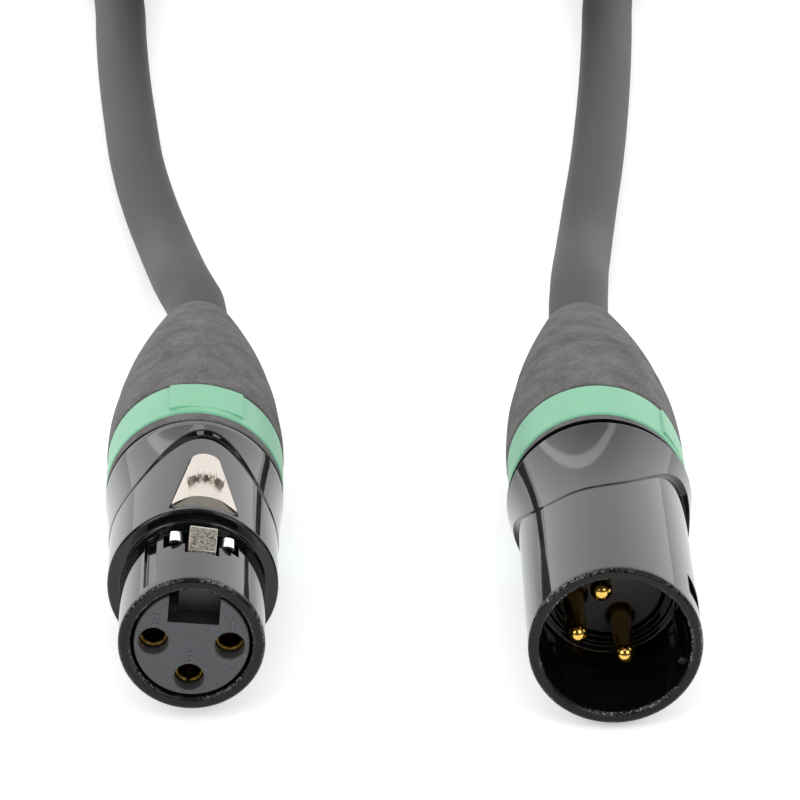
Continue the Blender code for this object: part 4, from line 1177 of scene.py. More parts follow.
def insert_body(face, radius):
    """Front disc, the flange that seats in the shell's rear bore, and the tail behind it."""
    flange = REAR_BORE_RADIUS - GAP
    tail = connectors().barrel_radius - BARREL_WALL - GAP
    edge = 0.2 * MM
    rim = filleted([(face, radius - 2 * MM, 0), (face, radius, edge), (face + MM, radius, 0)], 4)
    outline = [(face, 0)] + rim[1:]
    outline += [
        (FLANGE_FRONT, radius),
        (FLANGE_FRONT, flange),
        (FLANGE_REAR, flange),
        (FLANGE_REAR, tail),
        (INSERT_TAIL, tail),
        (INSERT_TAIL, 0),
    ]
    return lathe(outline, RING_STEPS, closed=False)


def numeral(text, size, centre, face):
    """A raised figure on an insert's face, as a bmesh on the connector's axis."""
    curve = bpy.data.curves.new("numeral", "FONT")
    curve.body = text
    curve.size = size
    curve.extrude = FIGURE_RISE
    curve.align_x = "CENTER"
    curve.align_y = "CENTER"
    curve.resolution_u = 6
    made = linked("numeral", curve)
    mesh = evaluated_mesh(made)
    bm = bmesh.new()
    bm.from_mesh(mesh)
    bpy.data.objects.remove(made, do_unlink=True)
    bpy.data.curves.remove(curve)
    bpy.data.meshes.remove(mesh)
    bmesh.ops.transform(bm, matrix=Matrix.Translation((*centre, -face)), verts=bm.verts)
    return cleaned(bm)


def merged(parts):
    """Several bmeshes as one, side by side."""
    whole = bmesh.new()
    for part in parts:
        mesh = as_mesh("part", part)
        whole.from_mesh(mesh)
        bpy.data.meshes.remove(mesh)
    return whole


# Slate half as bright again: painted highlight, so the raised figures look lit against the insert
def highlight_figure_plastic():
    return slate_plastic("slate_nylon_painted_highlight", 1.5)


def insert_figures(side, figures, size, place, face):
    """The plain figures beside one insert's contacts, made lighter than the insert as a painted highlight on their
    raised faces.
    """
    raised = shared("slate_nylon_painted_highlight", highlight_figure_plastic)
    bm = merged([numeral(text, size, (x * MM, y * MM), face) for text, (x, y) in figures])
    piece(f"{side}_insert_figures", bm, place, [raised], [], "cable")


class CABLE_OT_inserts(bpy.types.Operator):
    """Both inserts with their holes, the female one's slot, and the plain figures beside the contacts."""

    bl_idname = "cable.inserts"
    bl_label = "Inserts"

    def execute(self, context):
        slate = shared("slate_glass_filled_nylon", slate_plastic)
        sizes = connectors()
        face = INSERT_RECESS
        radius = sizes.barrel_radius - BARREL_WALL - GAP
        slot = SLOT_WIDTH / 2
        bridge_rear = BRIDGE_FRONT + BRIDGE_LENGTH
        slot_outline = [
            (-slot, face - REACH),
            (slot, face - REACH),
            (slot, BRIDGE_FRONT),
            (BRIDGE_SLIT - slot, BRIDGE_FRONT),
            (BRIDGE_SLIT - slot, bridge_rear),
            (slot, bridge_rear),
            (slot, FLANGE_REAR + GAP),
            (-slot, FLANGE_REAR + GAP),
        ]
        cutters = [slab(slot_outline, SLOT_FLOOR, REACH, PLAN_PLANE)] + contact_holes(face)
        bm = combined(insert_body(face, radius), cutters, "DIFFERENCE")
        # Faces deep in the slot, the bridge among them, get black acetal: painted shade where the slot lies in shadow
        edge = GAP / 10
        for part in bm.faces:
            centre = part.calc_center_median()
            in_shaded_slot = abs(centre.x) < slot + edge and centre.y > SLOT_FLOOR - edge
            part.material_index = int(in_shaded_slot and centre.z < -SLOT_PAINTED_SHADE_FROM)
        finish = [slate, shared("black_moulded_acetal", black_acetal)]
        piece("female_insert_disc", bm, insert_place(), finish, ["female_insert"], "cable")
        insert_figures("female", FEMALE_FIGURES, FEMALE_FIGURE_SIZE, insert_place(), face)
        face = sizes.cavity_depth + GAP
        bm = combined(insert_body(face, LEDGE_RADIUS - GAP), contact_holes(face), "DIFFERENCE")
        piece("male_insert_disc", bm, male_place(), [slate], ["male_insert"], "cable")
        insert_figures("male", MALE_FIGURES, MALE_FIGURE_SIZE, male_place(), face)
        return {"FINISHED"}


def cup_outline():
    """The solder cup behind a contact's stem, as (along, radius) points."""
    return [
        (STEM_END, STEM_RADIUS),
        (STEM_END, CUP_RADIUS),
        (CUP_END, CUP_RADIUS),
        (CUP_END, CUP_RADIUS - CUP_WALL),
        (CUP_END - CUP_DEPTH, CUP_RADIUS - CUP_WALL),
        (CUP_END - CUP_DEPTH, 0),
    ]


def cup_cutter():
    return slab(box_outline(CUP_END - CUP_OPENING, CUP_END + REACH, 0, REACH), -REACH, REACH, SIDE_PLANE)


def contact_pieces(model, stem, nodes, place):
    """The same contact at each of the three places, turned so that its solder cup opens outwards."""
    gold = shared("gold_plated_turned_brass", gold_plate)
    for number, (spot, angle) in enumerate(zip(contact_places(), CONTACT_ANGLES), 1):
        own = place @ Matrix.Translation(spot) @ Matrix.Rotation(math.radians(angle - 90), 4, "Z")
        piece(f"{stem}_{number}", model.copy(), own, [gold], [f"{nodes}_{number}"], "cable")
    model.free()


class CABLE_OT_contacts(bpy.types.Operator):
    """Three slotted sockets and three round-nosed pins, all with solder cups."""

    bl_idname = "cable.contacts"
    bl_label = "Contacts"

    def execute(self, context):
        front = INSERT_RECESS + FACE_HOLE_DEPTH + GAP
        outline = [
            (front + SOCKET_DEPTH, 0),
            (front + SOCKET_DEPTH, PIN_RADIUS),
            (front + SOCKET_LEAD, PIN_RADIUS),
            (front, PIN_RADIUS + SOCKET_LEAD),
            (front, STEM_RADIUS - SOCKET_EDGE),
            (front + SOCKET_EDGE, STEM_RADIUS),
        ]
        socket = lathe(outline + cup_outline(), SMALL_STEPS, closed=False)
        slit_side = box_outline(front - REACH, front + SOCKET_DEPTH, 0, REACH)
        slit = slab(slit_side, -SOCKET_SLIT / 2, SOCKET_SLIT / 2, SIDE_PLANE)
        socket = combined(socket, [cup_cutter(), slit], "DIFFERENCE")
        contact_pieces(socket, "female_socket", "female_contact", insert_place())
        turns = [math.pi / 2 * i / NOSE_STEPS for i in range(NOSE_STEPS + 1)]
        nose = [(PIN_TIP + PIN_RADIUS * (1 - math.cos(turn)), PIN_RADIUS * math.sin(turn)) for turn in turns]
        shoulder = connectors().cavity_depth + GAP + FACE_HOLE_DEPTH + GAP
        outline = nose + [(shoulder, PIN_RADIUS), (shoulder, STEM_RADIUS)] + cup_outline()
        pin = combined(lathe(outline, SMALL_STEPS, closed=False), [cup_cutter()], "DIFFERENCE")
        contact_pieces(pin, "male_contact_pin", "male_pin", male_place())
        return {"FINISHED"}


# Latch


def front_scoop():
    """What is carved off the front of the pad: a slanted cut that widens forwards."""
    front = connectors().pad_front
    fore = connectors().pad_half_width - GAP / 3
    outline = [
        (-FACET_HALF_WIDTH, FACET_ALONG),
        (FACET_HALF_WIDTH, FACET_ALONG),
        (fore, front),
        (fore, front - MM),
        (-fore, front - MM),
        (-fore, front),
    ]
    scoop = slab(outline, PAD_FLOOR, REACH, PLAN_PLANE)
    normal = Vector((0, FACET_ALONG - front, PAD_CROWN - FACET_FRONT_HEIGHT)).normalized()
    cut_off(scoop, Vector((0, PAD_CROWN, -FACET_ALONG)), -normal)
    return scoop


def latch_pad():
    """The thumb pad: carved from a round bar by its outline's planes, with a slanted front."""
    end = REACH * 1.2
    bm = lathe([(0, 0), (0, PAD_CROWN), (end, PAD_CROWN), (end, 0)], SHELL_STEPS, closed=False)
    for point, normal in pad_planes():
        cut_off(bm, point, normal)
    cut_off(bm, Vector((0, PAD_FLOOR, 0)), Vector((0, -1, 0)))
    bm = combined(cleaned(bm, 1e-6), [front_scoop()], "DIFFERENCE")
    return soften(bm, LEVER_EDGE, 3, 22.0)


def ridge_arc(centre, radius, half_angle, front_limit):
    """The part of an arc across the pad that lies behind a limit, as (x, along) points."""
    turns = [math.radians(half_angle) * (1 - 2 * i / RIDGE_STEPS) for i in range(RIDGE_STEPS + 1)]
    arc = [(radius * math.sin(turn), centre + radius * math.cos(turn)) for turn in turns]
    return [point for point in arc if point[1] > front_limit]


def thumb_ridge():
    """A crescent across the pad, thick in its middle, with shallow notches across its top."""
    top = PAD_CROWN + connectors().ridge_height
    ridge = slab(ridge_arc(*RIDGE_OUTER) + ridge_arc(*RIDGE_INNER), PAD_FLOOR + GAP, top, PLAN_PLANE)
    ridge = soften(ridge, RIDGE_EDGE, 3, 40.0)
    notches = []
    for place in NOTCH_PLACES:
        outline = box_outline(place * MM - NOTCH_HALF_WIDTH, place * MM + NOTCH_HALF_WIDTH, *NOTCH_SPAN)
        notches.append(slab(outline, top - NOTCH_DEPTH, top + MM, PLAN_PLANE))
    return combined(ridge, notches, "DIFFERENCE")


def latch_arm():
    """The arm under the shell and the tooth that stands up at its front."""
    sizes = connectors()
    top = ARM_FLOOR + ARM_THICKNESS
    heel = ARM_HEEL + ARM_THICKNESS
    side = [
        (TOOTH_FRONT, ARM_FLOOR),
        (ARM_HEEL, ARM_FLOOR),
        (heel, PAD_FLOOR + GAP),
        (heel, PAD_FLOOR + 2 * GAP),
        (sizes.pad_front + GAP, PAD_FLOOR + 2 * GAP),
        (sizes.pad_front + GAP, top),
        (TOOTH_REAR + GAP, top),
        (TOOTH_REAR, TOOTH_HEIGHT),
        (TOOTH_REAR - GAP, TOOTH_HEIGHT + GAP / 6),
        (TOOTH_FRONT + GAP, TOOTH_NOSE),
        (TOOTH_FRONT, TOOTH_NOSE - 2 * GAP),
    ]
    return soften(slab(side, -TOOTH_HALF_WIDTH, TOOTH_HALF_WIDTH, SIDE_PLANE), LEVER_EDGE, 3, 30.0)


def cross_pin(radius, width):
    """A round bar across the connector on the lever's pivot."""
    half = width / 2
    bm = lathe([(-half, 0), (-half, radius), (half, radius), (half, 0)], SMALL_STEPS, closed=False)
    move = Matrix.Translation((0, PIVOT_HEIGHT, -PIVOT_ALONG)) @ Matrix.Rotation(math.pi / 2, 4, "Y")
    bmesh.ops.transform(bm, matrix=move, verts=bm.verts)
    return bm


class CABLE_OT_latch(bpy.types.Operator):
    """Latch lever: pad, thumb ridge, arm and tooth."""

    bl_idname = "cable.latch"
    bl_label = "Latch lever"

    def execute(self, context):
        bm = combined(latch_pad(), [thumb_ridge(), latch_arm(), cross_pin(EYE_RADIUS, EYE_WIDTH)], "UNION")
        bm = combined(bm, [cross_pin(PIVOT_HOLE_RADIUS, REACH)], "DIFFERENCE")
        for face in bm.faces:
            centre = face.calc_center_median()
            on_tooth = -centre.z < TOOTH_REAR and centre.y > PAD_FLOOR - TOOTH_FACE_DEPTH
            broad = abs(face.normal.x) < 0.3 and face.calc_area() > TOOTH_FACE_AREA
            face.material_index = int(on_tooth and broad)
        nickel = shared("nickel_plated_die_casting", nickel_plate)
        pitted = nickel_plate(
            "nickel_plated_pitted_face", grain_mm=0.3, depth_mm=0.06, strength=1.0, tone=0.95, pits=0.22
        )
        finish = [nickel, pitted]
        piece("latch_lever_cast", bm, female_place(), finish, ["latch_lever"], "latch", 26.0)
        return {"FINISHED"}


def smooth_path(points, steps):
    """Points on a smooth curve through the given ones."""
    points = [Vector(point) for point in points]
    padded = [2 * points[0] - points[1]] + points + [2 * points[-1] - points[-2]]
    made = [points[0]]
    for before, start, end, after in zip(padded, padded[1:], padded[2:], padded[3:]):
        for step in range(1, steps + 1):
            t = step / steps
            made.append(
                0.5
                * (
                    2 * start
                    + (end - before) * t
                    + (2 * before - 5 * start + 4 * end - after) * t**2
                    + (3 * start - before - 3 * end + after) * t**3
                )
            )
    return made


def strip(path, thickness, low, high, plane):
    """A bent strip: a line of (u, v) points swept across its width and thickened."""
    u_axis, v_axis, normal = plane
    bm = bmesh.new()
    row = [bm.verts.new(u_axis * u + v_axis * v + normal * low) for u, v in path]
    edges = [bm.edges.new(pair) for pair in zip(row, row[1:])]
    swept = bmesh.ops.extrude_edge_only(bm, edges=edges)["geom"]
    bmesh.ops.translate(bm, verts=vertices_of(swept), vec=normal * (high - low))
    bmesh.ops.recalc_face_normals(bm, faces=bm.faces)
    bmesh.ops.solidify(bm, geom=bm.faces[:], thickness=thickness)
    return cleaned(bm)


class CABLE_OT_latch_spring(bpy.types.Operator):
    """Latch spring: floor in the insert's slot, tongue under the arm and an earthing tab on each side."""

    bl_idname = "cable.latch_spring"
    bl_label = "Latch spring"

    def execute(self, context):
        thick = SPRING_THICKNESS
        floor = SLOT_FLOOR + GAP + thick / 2
        half = [(x * MM, y * MM) for x, y in TAB_PATH]
        half += [(TAB_FOOT, floor + TAB_FOOT_RISE), (FLOOR_STRIP_INSIDE, floor)]
        tabs = [tuple(point) for point in smooth_path(half, 5)]
        tabs += [(-x, y) for x, y in reversed(tabs)]
        plan = box_outline(-FLOOR_STRIP_HALF_WIDTH, FLOOR_STRIP_HALF_WIDTH, TAB_REAR - GAP, FLOOR_STRIP_REAR)
        floor_strip = slab(plan, floor - thick / 2, floor + thick / 2, PLAN_PLANE)
        tongue = [(u * MM, floor + v * MM) for u, v in TONGUE_ROOT] + [(u * MM, v * MM) for u, v in TONGUE_END]
        tongue = [tuple(point) for point in smooth_path(tongue, 5)]
        parts = [
            strip(tabs, thick, -TAB_REAR, -SPRING_FRONT, SECTION_PLANE),
            soften(floor_strip, FLOOR_STRIP_EDGE, 2),
            strip(tongue, thick, -TONGUE_HALF_WIDTH, TONGUE_HALF_WIDTH, SIDE_PLANE),
        ]
        steel = [shared("cold_rolled_spring_steel", spring_steel)]
        bm = merged(parts)
        made = piece(
            "latch_spring_strip", bm, female_place(), steel, ["latch_spring"], "cable", 35.0
        )
        add_edge_bevel(made, SPRING_BEVEL)
        made.modifiers.move(made.modifiers.find("Edge"), 0)
        return {"FINISHED"}


# Coding rings and boots


def ring_front():
    return SHELL_GAP_ALONG + LIP_LENGTH + GAP


def nut_front():
    return ring_front() + boots().ring_length + GAP


def coding_ring():
    """The ring with its slightly crowned label field."""
    front = ring_front()
    rear = front + boots().ring_length
    radius = boots().nut_radius - RING_SETBACK
    bore = NECK_RADIUS + GAP
    corners = [(front, bore, 0), (front, radius, 0.3 * MM), (rear, radius, 0.3 * MM), (rear, bore, 0)]
    ring = lathe(filleted(corners, 4), RING_STEPS)
    half = math.asin(LABEL_HALF_WIDTH / LABEL_RADIUS)
    steps = 24
    centre = radius + LABEL_RISE - LABEL_RADIUS
    turns = [half * (1 - 2 * i / steps) for i in range(steps + 1)]
    crown = [(LABEL_RADIUS * math.sin(turn), centre + LABEL_RADIUS * math.cos(turn)) for turn in turns]
    root = (bore + radius) / 2
    root_half = math.asin(LABEL_HALF_WIDTH / root)
    turns = [root_half * (2 * i / steps - 1) for i in range(steps + 1)]
    crown += [(root * math.sin(turn), root * math.cos(turn)) for turn in turns]
    label = slab(crown, -(rear - GAP - LABEL_RISE), -(front + LABEL_FRONT), SECTION_PLANE)
    return combined(ring, [soften(label, 0.1 * MM, 3, 40.0)], "UNION")


class CABLE_OT_coding_rings(bpy.types.Operator):
    """Coding rings with their label fields."""

    bl_idname = "cable.coding_rings"
    bl_label = "Coding rings"

    def execute(self, context):
        mint = shared("mint_moulded_polypropylene", mint_plastic)
        for side, place in (("female", female_place()), ("male", male_place())):
            nodes, body = [f"{side}_coding_ring"], f"{side}_ring_carriage"
            piece(f"{side}_ring_moulded", coding_ring(), place, [mint], nodes, body)
        return {"FINISHED"}


def nut_radius_at(along):
    share = max(0.0, (along - nut_front()) / boots().nut_length)
    return boots().nut_radius - NUT_DROP * share**NUT_CURVE


def boot_nut():
    """Threaded neck in the shell, lip in front of the coding ring, and the fluted grip behind it."""
    lip_front, lip_rear = SHELL_GAP_ALONG, SHELL_GAP_ALONG + LIP_LENGTH
    lip_radius = boots().nut_radius - LIP_SETBACK
    front = nut_front()
    rear = front + boots().nut_length
    neck = [(NECK_FRONT, NECK_RADIUS)]
    flank = THREAD_PITCH / 2
    for i in range(int((lip_front - NECK_FRONT - THREAD_PITCH) / flank)):
        neck.append((NECK_FRONT + flank * (i + 1), NECK_RADIUS - (THREAD_DEPTH if i % 2 == 0 else 0.0)))
    lip = filleted(
        [
            (lip_front, NECK_RADIUS, 0.1 * MM),
            (lip_front, lip_radius, 0.2 * MM),
            (lip_rear, lip_radius, 0.12 * MM),
            (lip_rear, NECK_RADIUS, 0),
            (front, NECK_RADIUS, 0),
            (front, boots().nut_radius, 0.2 * MM),
            (front + MM, boots().nut_radius, 0),
            (front + MM, NECK_RADIUS, 0),
        ],
        4,
    )[:-2]
    grip = [front + 0.3 * MM + (rear - front - 0.6 * MM) * i / NUT_ROWS for i in range(NUT_ROWS + 1)]
    outline = neck + lip + [(along, nut_radius_at(along)) for along in grip]
    throat_front, throat_rear = NUT_THROAT
    outline += [
        (rear - 0.1 * MM, nut_radius_at(rear) - 0.05 * MM),
        (rear, nut_radius_at(rear) - 0.2 * MM),
        (rear, REAR_POCKET_RADIUS),
        (REAR_POCKET_FRONT, REAR_POCKET_RADIUS),
        (throat_rear, NUT_THROAT_RADIUS),
        (throat_front, NUT_THROAT_RADIUS),
        (NECK_CONE_REAR, NECK_BORE),
        (NECK_FRONT, NECK_BORE),
    ]
    bm = lathe(outline, NUT_STEPS)
    for vertex in bm.verts:
        along, radius = -vertex.co.z, vertex.co.xy.length
        if along > front + 0.1 * MM and radius > nut_radius_at(along) - FLUTE_SKIN:
            share = (along - front) / (rear - front)
            deepened, faded = (smoothstep((share - start) / run) for start, run in (FLUTE_DEEPENS, FLUTE_FADES))
            depth = boots().flute_depth * deepened * (1 - faded)
            wave = 0.5 - 0.5 * math.cos(FLUTES * math.atan2(vertex.co.x, vertex.co.y))
            vertex.co.xy *= (radius - depth * wave**FLUTE_SHARPNESS) / radius
    return bm


def boot_sleeve():
    """Rubber cone that keeps the cable from kinking."""
    front = nut_front() + boots().nut_length + GAP
    rear = front + boots().sleeve_length
    bore = cable().cable_radius + GAP
    outline = [(front, SLEEVE_FRONT_RADIUS - 0.25 * MM), (front + 0.08 * MM, SLEEVE_FRONT_RADIUS - 0.08 * MM)]
    for i in range(1, SLEEVE_ROWS):
        share = i / SLEEVE_ROWS
        radius = SLEEVE_FRONT_RADIUS + (SLEEVE_TIP_RADIUS - SLEEVE_FRONT_RADIUS) * share**SLEEVE_CURVE
        outline.append((front + (rear - front) * share, radius))
    outline += filleted(
        [
            (rear - 0.5 * MM, SLEEVE_TIP_RADIUS + SLEEVE_TIP_DRAFT, 0),
            (rear, SLEEVE_TIP_RADIUS, 0.35 * MM),
            (rear, bore, 0.1 * MM),
            (front + SLEEVE_CONE_DEPTH, bore, 0),
            (front + SLEEVE_POCKET_DEPTH, REAR_POCKET_RADIUS, 0),
            (front, REAR_POCKET_RADIUS, 0),
        ],
        4,
    )
    return lathe(outline, RING_STEPS)


class CABLE_OT_boots(bpy.types.Operator):
    """Boot nuts with their lips and flutes, and the rubber sleeves behind them."""

    bl_idname = "cable.boots"
    bl_label = "Boots"

    def execute(self, context):
        rubber = shared("grey_moulded_elastomer", grey_rubber)
        for side, place in (("female", female_place()), ("male", male_place())):
            for part, model in (("nut", boot_nut()), ("sleeve", boot_sleeve())):
                nodes, body = [f"{side}_boot_{part}"], f"{side}_boot"
                piece(f"{side}_{part}_moulded", model, place, [rubber], nodes, body)
        return {"FINISHED"}


# Cable


def sleeve_mouth():
    return nut_front() + boots().nut_length + GAP + boots().sleeve_length


def touching(point, side):
    """The angle on the coil's outer turn where a straight run from the point touches it."""
    away = Vector(point[:2]) * MM - COIL_CENTRE.xy
    return math.degrees(math.atan2(away.y, away.x) + side * math.acos(COIL_OUTER / away.length))


def stage_value(turn, stages):
    """A value that goes evenly from one (turn, value) stage to the next."""
    for (start, low), (stop, high) in zip(stages, stages[1:]):
        if turn <= stop:
            return low + (high - low) * (turn - start) / (stop - start)
    return stages[-1][1]


def coil_points():
    """Four layers: inwards on the floor, up through the middle, outwards on top, in below that and out again."""
    start = touching(FEMALE_ROUTE[-1], -1) % 360.0
    turns = COIL_TURNS - (touching(MALE_ROUTE[0], 1) % 360.0 - start) / 360.0
    wide = (COIL_OUTER - COIL_CORE) / COIL_PITCH
    narrow = wide - 1
    climb_start, top_start = wide, turns - wide - 2 * narrow
    outside, inside = top_start + wide, top_start + wide + narrow
    radii = [(0, COIL_OUTER), (climb_start, COIL_CORE), (top_start, COIL_CORE), (outside, COIL_OUTER)]
    radii += [(inside, COIL_OUTER - narrow * COIL_PITCH), (turns, COIL_OUTER)]
    climb = top_start - climb_start + 2 * CLIMB_LEAD
    count = round(turns * POINTS_PER_TURN)
    points = []
    for i in range(count + 1):
        turn = turns * i / count
        level = 3 * smoothstep((turn - climb_start + CLIMB_LEAD) / climb)
        level -= smoothstep((turn - outside) / DROP_TURNS + 0.5) + smoothstep((turn - inside) / DROP_TURNS + 0.5)
        angle = math.radians(start - 360.0 * turn)
        spot = Vector((math.cos(angle), math.sin(angle), 0.0)) * stage_value(turn, radii)
        lift = TIE_LIFT * (1 - smoothstep((abs(spot.x) - TIE_WIDTH / 2) / TIE_LIFT_RUN)) if spot.y > 0 else 0.0
        points.append(COIL_CENTRE + spot + Vector((0, 0, cable().cable_radius + LAYER_RISE * level + lift)))
    return points


def boot_mouth_points(place, stations):
    return [place @ Vector((0, 0, -along)) for along in stations]


class CABLE_OT_cable(bpy.types.Operator):
    """The whole cable as one line: out of the female boot, round the coil and into the male boot."""

    bl_idname = "cable.cable"
    bl_label = "Cable"

    def execute(self, context):
        start = sleeve_mouth() - MOUTH_OVERLAP
        stations = (start, start + STRAIGHT_AFTER_BOOT)
        female = boot_mouth_points(female_place(), stations)
        male = boot_mouth_points(male_place(), reversed(stations))
        out, back = ([Vector(p) * MM for p in route] for route in (FEMALE_ROUTE, MALE_ROUTE))
        coil = coil_points()
        route = female + out + [out[-1].lerp(coil[0], 0.5)] + coil
        route += [coil[-1].lerp(back[0], 0.5)] + back + male
        curve = bpy.data.curves.new("cable_jacket_run", "CURVE")
        curve.dimensions = "3D"
        curve.bevel_depth = cable().cable_radius
        curve.bevel_resolution = 7
        curve.resolution_u = curve.render_resolution_u = 5
        curve.use_fill_caps = True
        spline = curve.splines.new("BEZIER")
        spline.bezier_points.add(len(route) - 1)
        for point, place in zip(spline.bezier_points, route):
            point.co = place
            point.handle_left_type = point.handle_right_type = "AUTO"
        made = linked("cable_jacket_run", curve)
        jacket = shared("matte_extruded_jacket", jacket_rubber)
        curve.materials.append(jacket)
        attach(made, "cable")
        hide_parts("cable_lead_female", "cable_lead_male", "cable_coil")
        radius = cable().cable_radius
        corners = [
            (CABLE_END_ALONG, 0, 0),
            (CABLE_END_ALONG, radius, CABLE_END_ROUNDING),
            (start, radius, 0),
            (start, 0, 0),
        ]
        for side, place in (("female", female_place()), ("male", male_place())):
            end = lathe(filleted(corners, 4), SMALL_STEPS, closed=False)
            piece(f"cable_end_{side}", end, place, [jacket], [], "cable")
        return {"FINISHED"}


def unroll(bm, loop):
    """Writes the strap's UV map: how far round the loop each corner lies, and how far across."""
    around = [0.0]
    for here, there in zip(loop, loop[1:] + loop[:1]):
        around.append(around[-1] + math.dist(here, there))
    layer = bm.loops.layers.uv.new("strap")
    for face in bm.faces:
        spots = [min(range(len(loop)), key=lambda i: math.dist(loop[i], v.co.yz)) for v in face.verts]
        wraps = max(spots) - min(spots) > len(loop) / 2
        for corner, spot in zip(face.loops, spots):
            total = around[-1] if wraps and spot == 0 else around[spot]
            corner[layer].uv = (total, corner.vert.co.x - COIL_CENTRE.x)


class CABLE_OT_tie(bpy.types.Operator):
    """Woven strap round all the turns of the coil, as a closed loop."""

    bl_idname = "cable.tie"
    bl_label = "Coil strap"

    def execute(self, context):
        lowest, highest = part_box("cable_tie")
        thick = TIE_THICKNESS
        near, far = lowest.y + thick / 2, highest.y - thick / 2
        low, high = lowest.z + thick / 2, highest.z - thick / 2
        loop = filleted([(y, z, TIE_CORNER) for y, z in box_outline(near, far, low, high)], 8)
        bm = bmesh.new()
        row = [bm.verts.new((COIL_CENTRE.x - TIE_WIDTH / 2, y, z)) for y, z in loop]
        edges = [bm.edges.new(pair) for pair in zip(row, row[1:] + row[:1])]
        for _ in range(TIE_COLUMNS):
            swept = bmesh.ops.extrude_edge_only(bm, edges=edges)["geom"]
            edges = [item for item in swept if isinstance(item, bmesh.types.BMEdge) and len(item.link_faces) == 1]
            bmesh.ops.translate(bm, verts=vertices_of(swept), vec=(TIE_WIDTH / TIE_COLUMNS, 0, 0))
        unroll(bm, loop)
        bmesh.ops.recalc_face_normals(bm, faces=bm.faces)
        strap = shared("woven_nylon_strap", woven_strap)
        made = piece("coil_strap", bm, Matrix.Identity(4), [strap], ["cable_tie"], "cable", 50.0)
        solid = made.modifiers.new("Thickness", "SOLIDIFY")
        solid.thickness = thick * TIE_THINNING
        solid.offset = 0.0
        add_edge_bevel(made, TIE_BEVEL)
        made.modifiers.move(made.modifiers.find("Weighted normals"), 2)
        return {"FINISHED"}


class CABLE_OT_inner_pieces(bpy.types.Operator):
    """Finishes for the cores, the collets and the latch pin, whose CAD shapes are kept."""

    bl_idname = "cable.inner_pieces"
    bl_label = "Inner pieces"

    def execute(self, context):
        cores = (
            core_insulation("red_core_insulation", "#B3262A"),
            core_insulation("white_core_insulation", "#D8D4CB"),
            core_insulation("blue_core_insulation", "#2F3F9E"),
        )
        acetal = shared("black_moulded_acetal", black_acetal)
        steel = shared("cold_rolled_spring_steel", spring_steel)
        finish_of = {"female_collet": acetal, "male_collet": acetal, "latch_pin": steel}
        for side in ("female", "male"):
            for number, core in enumerate(cores, 1):
                finish_of[f"{side}_core_{number}"] = core
        for name, material in finish_of.items():
            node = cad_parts[name]
            node.data.materials.clear()
            node.data.materials.append(material)
            for polygon in node.data.polygons:
                polygon.use_smooth = True
        return {"FINISHED"}


# Stage


def soft_box(name, azimuth, elevation, away, size, power, roll):
    """A soft lamp that faces the connectors; azimuth 0 is in front of them."""
    lamp = bpy.data.lights.new(name, "AREA")
    lamp.shape = "RECTANGLE"
    lamp.size, lamp.size_y = size
    lamp.energy = power
    made = linked(name, lamp)
    a, e = math.radians(azimuth), math.radians(elevation)
    way = Vector((math.sin(a) * math.cos(e), -math.cos(a) * math.cos(e), math.sin(e)))
    made.location = LAMP_AIM + way * away
    facing = (-way).to_track_quat("-Z", "Y").to_matrix().to_4x4()
    made.rotation_euler = (facing @ Matrix.Rotation(math.radians(roll), 4, "Z")).to_euler()
    made.visible_camera = False


def studio_world():
    """White backdrop behind the connectors and darkness in front of them and overhead, as shiny pieces see it,
    with a thin hoop of light high up that draws fine lines on rounded edges; everything else gets an even fill
    light, and the camera gets white."""
    world = bpy.data.worlds.new("white_studio")
    world.use_nodes = True
    tree = world.node_tree
    tree.nodes.clear()
    way = add_node(tree, "TexCoord")
    parts = add_node(tree, "SeparateXYZ", None, {"Vector": way.outputs["Generated"]})
    height = add_node(tree, "MapRange", {"From Min": -1.0, "From Max": 1.0}, {"Value": parts.outputs["Z"]})
    backdrop = add_node(tree, "ValToRGB", None, {"Fac": height.outputs["Result"]})
    elements = backdrop.color_ramp.elements
    while len(elements) < len(SKY_LEVELS):
        elements.new(1.0)
    for element, (position, value) in zip(elements, SKY_LEVELS):
        element.position = position
        element.color = (value, value, value, 1.0)
    behind = add_node(
        tree,
        "MapRange",
        {
            "From Min": -BACKDROP_BLEND,
            "From Max": BACKDROP_BLEND,
            "To Min": FOREGROUND_LEVEL,
            "To Max": BACKDROP_LEVEL,
        },
        {"Value": parts.outputs["Y"]},
    )
    seen = add_node(
        tree, "Math", {"operation": "MULTIPLY"}, {0: backdrop.outputs["Color"], 1: behind.outputs["Result"]}
    )
    hoop = add_node(tree, "Math", {"operation": "COMPARE", 1: HOOP_HEIGHT, 2: HOOP_WIDTH}, {0: parts.outputs["Z"]})
    hoop = add_node(tree, "Math", {"operation": "MULTIPLY", 1: HOOP_LEVEL}, {0: hoop.outputs["Value"]})
    seen = add_node(tree, "Math", {"operation": "MAXIMUM"}, {0: seen.outputs["Value"], 1: hoop.outputs["Value"]})
    path = add_node(tree, "LightPath")
    shiny = add_node(
        tree,
        "Mix",
        {"data_type": "FLOAT", 2: WORLD_FILL},
        {0: path.outputs["Is Glossy Ray"], 3: seen.outputs["Value"]},
    )
    direct = add_node(
        tree,
        "Math",
        {"operation": "MAXIMUM"},
        {0: path.outputs["Is Camera Ray"], 1: path.outputs["Is Transmission Ray"]},
    )
    strength = add_node(
        tree, "Mix", {"data_type": "FLOAT", 3: 1.0}, {0: direct.outputs["Value"], 2: shiny.outputs[0]}
    )
    background = add_node(tree, "Background", {"Color": (1.0, 1.0, 1.0, 1.0)}, {"Strength": strength.outputs[0]})
    add_node(tree, "OutputWorld", None, {"Surface": background.outputs["Background"]})
    bpy.context.scene.world = world


